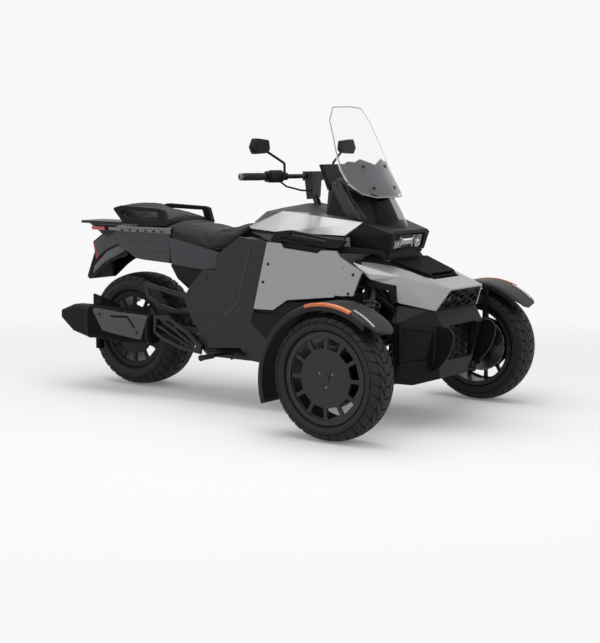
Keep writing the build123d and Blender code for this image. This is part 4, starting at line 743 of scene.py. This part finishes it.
def collar(name, centre, half_y, half_z, width, rise):
    """A band round the muffler's rounded box."""
    points = []
    for x, out in ((-0.5, -0.4), (-0.5, 0.7), (-0.36, 1), (0.36, 1), (0.5, 0.7), (0.5, -0.4)):
        reach = CORNER + rise * out
        for turn in range(4):
            middle_y = (half_y - CORNER) * (1 if turn in (0, 3) else -1)
            middle_z = (half_z - CORNER) * (1 if turn in (0, 1) else -1)
            for k in range(9):
                angle = pi / 2 * (turn + k / 8)
                points.append(centre + Vector((x * width, middle_y + reach * cos(angle),
                                               middle_z + reach * sin(angle))))
    return make(name, points, woven(6, AROUND, 6, AROUND), satin_black, "chassis")


CAP_FROM = 0.908   # metres behind the frame's origin, where the end cap starts
muffler_grey = finish("muffler_grey", (0.0065, 0.0065, 0.007), 0.6, grain=0.1, scale=1800, shine=0.04)
muffler_two = two_tone("muffler_two", muffler_grey, (0.022, 0.022, 0.024), (1, 0, 0), CAP_FROM)
shield_grey = finish("shield_grey", (0.070, 0.070, 0.075), 0.40, metallic=0.5, grain=0.12, scale=1800)
dress(muffler_two, "exhaust")
dress(shield_grey, "muffler_heat_shield", edge=0.0015)
collar("muffler_band_rear", spot(-1797, -300, 362), 0.054, 0.086, 0.020, 0.0025)
collar("muffler_band_front", spot(-1392, -287.3, 348.8), 0.0458, 0.0738, 0.016, 0.0035)
shield = skin("muffler_heat_shield")
for number, (x, z) in enumerate(((-1699, 410), (-1448, 330))):
    screw(f"shield_screw_{number}", shield, spot(x, -OUTSIDE, z), (0, 1, 0), 0.0085)
shield_line = ((-1618, 404), (-1508, 408), (-1462, 352))
band("shield_line", shield, side_view(shield_line, -OUTSIDE), (0, 1, 0), 0.009, 0.002, muffler_grey)


# ---- Foot pegs, heel loops and brake pedal ----
# Steel pegs in ribbed rubber for the rider, and cast loops behind the heels that carry the passenger's pegs,
# with two ribs across each. The brake pedal on the right is a bent rod with a rubber pad.
PEG_PITCH = 0.010
bar = [(0.0001, 0), (0.009, 0), (0.009, 0.120), (0.0125, 0.121)]
for k in range(8):
    at = 0.124 + PEG_PITCH * k
    bar += [(0.0135, at), (0.0135, at + 0.005), (0.0118, at + 0.007), (0.0118, at + 0.009)]
bar += [(0.0125, 0.206), (0.016, 0.208), (0.016, 0.214), (0.0001, 0.215)]
loop = ((-1352, 426), (-1358, 337), (-1304, 303), (-1179, 264), (-1040, 250), (-1034, 296), (-1129, 359),
        (-1254, 426))
window = ((-1336, 408), (-1340, 345), (-1294, 319), (-1176, 283), (-1086, 268), (-1072, 291), (-1138, 345),
          (-1260, 405))
rib_plans = (((-1338, 379), (-1338, 369), (-1114, 275), (-1110, 286)),
             ((-1304, 411), (-1314, 403), (-1092, 283), (-1084, 293)))
boss = ((-1034, 296), (-1070, 318), (-1072, 278), (-1038, 274))
for side, sign in SIDES:
    turned("rider_peg_" + side, bar, spot(-985, sign * 172, 244), (0, sign, 0), 20, grip_rubber, "chassis",
           crease=30)
    pressed("heel_loop_" + side, side_view(loop, sign * 310), (0, sign * 0.012, 0), 0.002, frame_black,
            hole=side_view(window, sign * 310))
    for number, rib in enumerate(rib_plans):
        pressed(f"heel_rib_{side}_{number}", side_view(rib, sign * 312), (0, sign * 0.007, 0), 0.0015,
                frame_black)
    pressed("heel_boss_" + side, side_view(boss, sign * 296.4), (0, sign * 0.0145, 0), 0.0015, frame_black)
rod = adjust(bpy.data.curves.new("brake_lever", "CURVE"), dimensions="3D", bevel_depth=0.007,
             bevel_resolution=3, resolution_u=10, use_fill_caps=True)
bends = ((-930, -176, 240), (-900, -230, 236), (-860, -312, 240), (-805, -330, 262))
line = rod.splines.new("NURBS")
line.points.add(len(bends) - 1)
for control, bend in zip(line.points, bends):
    control.co = (*spot(*bend), 1)
adjust(line, order_u=3, use_endpoint_u=True)
lever = placed("brake_lever", rod)
wear(lever, frame_black)
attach(lever, "chassis")
pad = ((-826, 252), (-776, 268), (-772, 282), (-824, 267))
pressed("brake_pad", side_view(pad, -352), (0, 0.048, 0), 0.002, grip_rubber)


# ---- Tail, rack and rear mudguard ----
# Moulded side panels in purplish grey with a pressed slot each, a rack with pale edges, black grab handles,
# and the mudguard with a bulged grey cheek on each side, under a dark lens with a red edge.
tail_grey = finish("tail_grey", (0.036, 0.034, 0.041), 0.40, metallic=0.2, grain=0.12, scale=1500, shine=0.4)
rack_grey = finish("rack_grey", (0.016, 0.016, 0.018), 0.45, grain=0.2, scale=1500, shine=0.35)
EDGE_FROM = 0.1785   # metres from the middle, where the rack's pale edge starts
rack_two = two_tone("rack_two", rack_grey, (0.20, 0.20, 0.205), (0, 1, 0), EDGE_FROM)
red = lit("red_lens", (0.40, 0.006, 0.008), 0.12)
cheek_grey = finish("cheek_grey", (0.125, 0.120, 0.128), 0.5, grain=0.25, scale=1500, shine=0.4)
lens_dark = finish("lens_dark", (0.018, 0.014, 0.018), 0.18, coat=0.3, change=0.02)
dress(tail_grey, "rear_side_panels", edge=0.003)
dress(rack_two, "tail_rack", edge=0.0015)
dress(satin_black, "grab_handles", edge=0.004)
dress(satin_black, "tail_shell", edge=0.002)
dress(satin_black, "rear_fender", edge=0.003)
dress(red, "tail_lamp", edge=0.0015)
guard = skin("rear_fender")
tail_sides = skin("rear_side_panels")
cheek = ((-1995, 590), (-1982, 632), (-1886, 712), (-1796, 752), (-1756, 742), (-1752, 722), (-1862, 672),
         (-1922, 640), (-1984, 592))
lens_plan = ((-1968, 668), (-1984, 758), (-1908, 806), (-1800, 790), (-1790, 762), (-1890, 728))
lens_rim = ((-1978, 752), (-1963, 676))
slot_plan = ((-1650, 794), (-1360, 790), (-1344, 742), (-1540, 742))
for side, sign in SIDES:
    inwards = Vector((0, -sign, 0))
    crowned("mudguard_cheek_" + side, guard, side_view(cheek, sign * BESIDE), inwards, 0.006, 0.006,
            cheek_grey)
    crowned("mudguard_lens_" + side, guard, side_view(lens_plan, sign * BESIDE), inwards, 0.003, 0.004,
            lens_dark)
    band("lens_edge_" + side, guard, side_view(lens_rim, sign * BESIDE), inwards, 0.012, 0.005, red)
    band("tail_slot_" + side, tail_sides, side_view(slot_plan, sign * OUTSIDE), inwards, 0.009, 0.0025,
         tail_grey, closed=True)


# ---- Seats ----
# Foam under grained synthetic leather, pulled tight over a base: the rider's deep saddle and the higher
# passenger pad behind it, each with a sewn seam round its shoulder and across its step.
leather = finish("seat_leather", (0.014, 0.014, 0.0155), 0.60, grain=0.55, scale=1500, dust=0.25, shine=0.22)
VOXEL = 0.006
INSET = 0.007       # the cover starts this far inside the foam's shape
PRESSURE = 3.5
MOST_MOVE = 0.022   # how far the pressure may push the cover out
SEAM_REACH = 0.010  # half the width of a seam's valley
STEPS = 20          # of the simulation


def settle(piece):
    """Write the modifiers into the mesh."""
    shaped = piece.evaluated_get(bpy.context.evaluated_depsgraph_get())
    mesh = bpy.data.meshes.new_from_object(shaped)
    piece.modifiers.clear()
    piece.data = mesh


def smoothed(piece, iterations):
    """Even out a piece's surface."""
    adjust(piece.modifiers.new("smooth", "SMOOTH"), factor=0.5, iterations=iterations)
    settle(piece)


def inflate(piece):
    """Blow the cover up as cloth that is held underneath."""
    mesh = piece.data
    start = [v.co.copy() for v in mesh.vertices]
    held = piece.vertex_groups.new(name="held")
    held.add([v.index for v in mesh.vertices if v.normal.z < -0.5], 1.0, "ADD")
    cloth = piece.modifiers.new("cloth", "CLOTH")
    adjust(cloth.settings, quality=6, mass=0.3, tension_stiffness=22, compression_stiffness=22,
           bending_stiffness=2.0, vertex_group_mass="held", use_pressure=True,
           uniform_pressure_force=PRESSURE)
    cloth.settings.effector_weights.gravity = 0
    cloth.collision_settings.use_collision = False
    for step in range(1, STEPS + 1):
        bpy.context.scene.frame_set(step)
    swollen = piece.evaluated_get(bpy.context.evaluated_depsgraph_get()).data
    swollen = [v.co.copy() for v in swollen.vertices]
    piece.modifiers.remove(cloth)
    bpy.context.scene.frame_set(1)
    for vertex, old, new in zip(mesh.vertices, start, swollen):
        move = new - old
        vertex.co = old + move * min(1, MOST_MOVE / max(move.length, 1e-9))


def cushion(name, node, seams, swell):
    """A cushion in place of its frame node, with (depth, distance) seams and an (x, reach, rise) hump."""
    piece = placed(name, NODES[node].data.copy())
    bpy.context.view_layer.objects.active = piece
    adjust(piece.modifiers.new("remesh", "REMESH"), mode="VOXEL", voxel_size=VOXEL)
    smoothed(piece, 10)
    mesh = piece.data
    normals = [v.normal.copy() for v in mesh.vertices]
    for vertex, normal in zip(mesh.vertices, normals):
        vertex.co -= normal * INSET
    inflate(piece)
    smoothed(piece, 12)
    mesh = piece.data
    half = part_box(node)[1][1]
    hump_x, hump_reach, hump_rise = swell
    for vertex in mesh.vertices:
        place = vertex.co
        away = abs(place.x - (hump_x / 1000 + AXLE_X)) / hump_reach
        if away < 1 and vertex.normal.z > 0:
            crown = (1 - away ** 2) ** 2 * (1 - (place.y / half) ** 4)
            place.z += hump_rise * crown * min(1, vertex.normal.z * 1.5)
    for vertex in mesh.vertices:
        place = vertex.co
        for depth, distance in seams:
            away = abs(distance(place))
            if away < SEAM_REACH and vertex.normal.z > -0.3:
                vertex.co = vertex.co - vertex.normal * depth * (1 - (away / SEAM_REACH) ** 2) ** 2
    adjust(piece.modifiers.new("finer", "SUBSURF"), levels=1, render_levels=1)
    settle(piece)
    piece.data.shade_smooth()
    wear(piece, leather)
    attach(piece, "chassis")
    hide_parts(node)


def across(x):
    """Distance from a seam across the seat."""
    return lambda place: place.x - (x / 1000 + AXLE_X)


def beside(offset, x_from, x_to):
    """Distance from a seam along the seat's side, between two stations."""
    def distance(place):
        if not x_from / 1000 + AXLE_X < place.x < x_to / 1000 + AXLE_X:
            return 1.0
        return abs(place.y) - offset / 1000
    return distance


cushion("rider_cushion", "rider_seat", ((0.0045, beside(118, -1330, -1000)), (0.004, across(-1335))),
        (-1285, 0.150, 0.024))
cushion("passenger_cushion", "passenger_seat", ((0.004, beside(112, -1730, -1410)), (0.004, across(-1655))),
        (-1690, 0.130, 0.016))


# ---- Floor and light ----
# A pale studio floor carries the shadows and runs into a white backdrop. A wide soft box hangs overhead, and
# weaker ones stand beside and ahead of the trike.
def direct_view(tree):
    """One for what the camera, metal or glass sees, nothing for light that falls on things."""
    ray = tree.nodes.new("ShaderNodeLightPath").outputs
    seen = ray["Is Camera Ray"]
    for name in ("Is Transmission Ray", "Is Glossy Ray"):
        seen = worked_out(tree, "Math", "Value", {0: seen, 1: ray[name]}, operation="MAXIMUM")
    return seen


FLOOR_TONE = 0.30          # what the light that falls on the trike gets from the floor
FLOOR_EDGE = 40            # metres from the middle
BACKDROP = (0.94, 0.94, 0.945, 1)
floor_mesh = bpy.data.meshes.new("floor")
corners = [(x * FLOOR_EDGE, y * FLOOR_EDGE, 0) for x, y in ((-1, -1), (1, -1), (1, 1), (-1, 1))]
floor_mesh.from_pydata(corners, [], [(0, 1, 2, 3)])
floor = placed("floor", floor_mesh)
ground = finish("floor", (FLOOR_TONE, FLOOR_TONE, FLOOR_TONE), 0.95, shine=0.0)
tree = ground.node_tree
shader = tree.nodes["Principled BSDF"]
seen = direct_view(tree)
tone = mixed(tree, seen, (FLOOR_TONE, FLOOR_TONE, FLOOR_TONE, 1), (0.78, 0.78, 0.782, 1))
feed(tree, shader, {"Base Color": tone})
place = worked_out(tree, "TexCoord", "Object", {})
reach = worked_out(tree, "VectorMath", "Value", {0: place}, operation="LENGTH")
fade = worked_out(tree, "MapRange", "Result", {
    "Value": reach, "From Min": 1.6, "From Max": 4.2, "To Min": 0.14}, interpolation_type="SMOOTHSTEP")
far = worked_out(tree, "Math", "Value", {0: fade, 1: seen}, operation="MULTIPLY")
backdrop = worked_out(tree, "Emission", "Emission", {"Color": BACKDROP})
surface = worked_out(tree, "MixShader", "Shader", {"Fac": far, 1: shader.outputs["BSDF"], 2: backdrop})
feed(tree, tree.nodes["Material Output"], {"Surface": surface})
wear(floor, ground)


def soft_box(name, place, target, width, height, watts):
    """A rectangular light that faces its target."""
    light = adjust(bpy.data.lights.new(name, "AREA"), shape="RECTANGLE", size=width, size_y=height,
                   energy=watts)
    lamp = placed(name, light)
    lamp.location = place
    lamp.rotation_euler = (Vector(target) - Vector(place)).to_track_quat("-Z", "Y").to_euler()


soft_box("overhead", (0.0, -0.3, 4.2), (0.1, -0.1, 0.4), 4.8, 3.2, 105)
soft_box("side", (0.6, -5.5, 2.6), (0.1, 0, 0.5), 3.2, 1.4, 40)
soft_box("front", (5.2, -1.2, 2.6), (0.5, 0, 0.5), 2.2, 1.4, 30)
world = bpy.data.worlds.new("studio")
bpy.context.scene.world = world
world.use_nodes = True
sky = world.node_tree
clear_sky = sky.nodes["Background"]
feed(sky, clear_sky, {"Color": BACKDROP, "Strength": 1.0})
direction = worked_out(sky, "TexCoord", "Generated", {})
ramp = sky.nodes.new("ShaderNodeValToRGB")
feed(sky, ramp, {"Fac": worked_out(sky, "SeparateXYZ", "Z", {"Vector": direction})})
stops = ramp.color_ramp.elements
adjust(stops[0], position=0.0, color=(0.6, 0.6, 0.6, 1))
adjust(stops[1], position=0.8, color=(1.0, 1.0, 1.0, 1))
stops.new(0.4).color = (0.66, 0.66, 0.665, 1)
room = worked_out(sky, "Background", "Background", {"Color": ramp.outputs["Color"], "Strength": 0.85})
surface = worked_out(sky, "MixShader", "Shader", {
    "Fac": direct_view(sky), 1: room, 2: clear_sky.outputs["Background"]})
feed(sky, sky.nodes["World Output"], {"Surface": surface})


# ---- Camera ----
# A long lens seven metres away, three quarters from the front right and a little above the axles. It faces
# the trike's middle without roll.
TURN = radians(36.434)
LIFT = radians(7.008)
DISTANCE = 7.0
look_at = Vector((0.21978, 0.006743, 0.409447))
back = Vector((sin(TURN) * cos(LIFT), -cos(TURN) * cos(LIFT), sin(LIFT)))
right = Vector((cos(TURN), sin(TURN), 0))
up = right.cross(-back)
long_lens = adjust(bpy.data.cameras.new("camera"), sensor_fit="HORIZONTAL", sensor_width=36, lens=84.143)
camera = placed("camera", long_lens)
stand = Matrix((right, up, back)).transposed().to_4x4()
stand.translation = look_at + back * DISTANCE
camera.matrix_world = stand
bpy.context.scene.camera = camera
bpy.context.scene.view_settings.view_transform = "Standard"
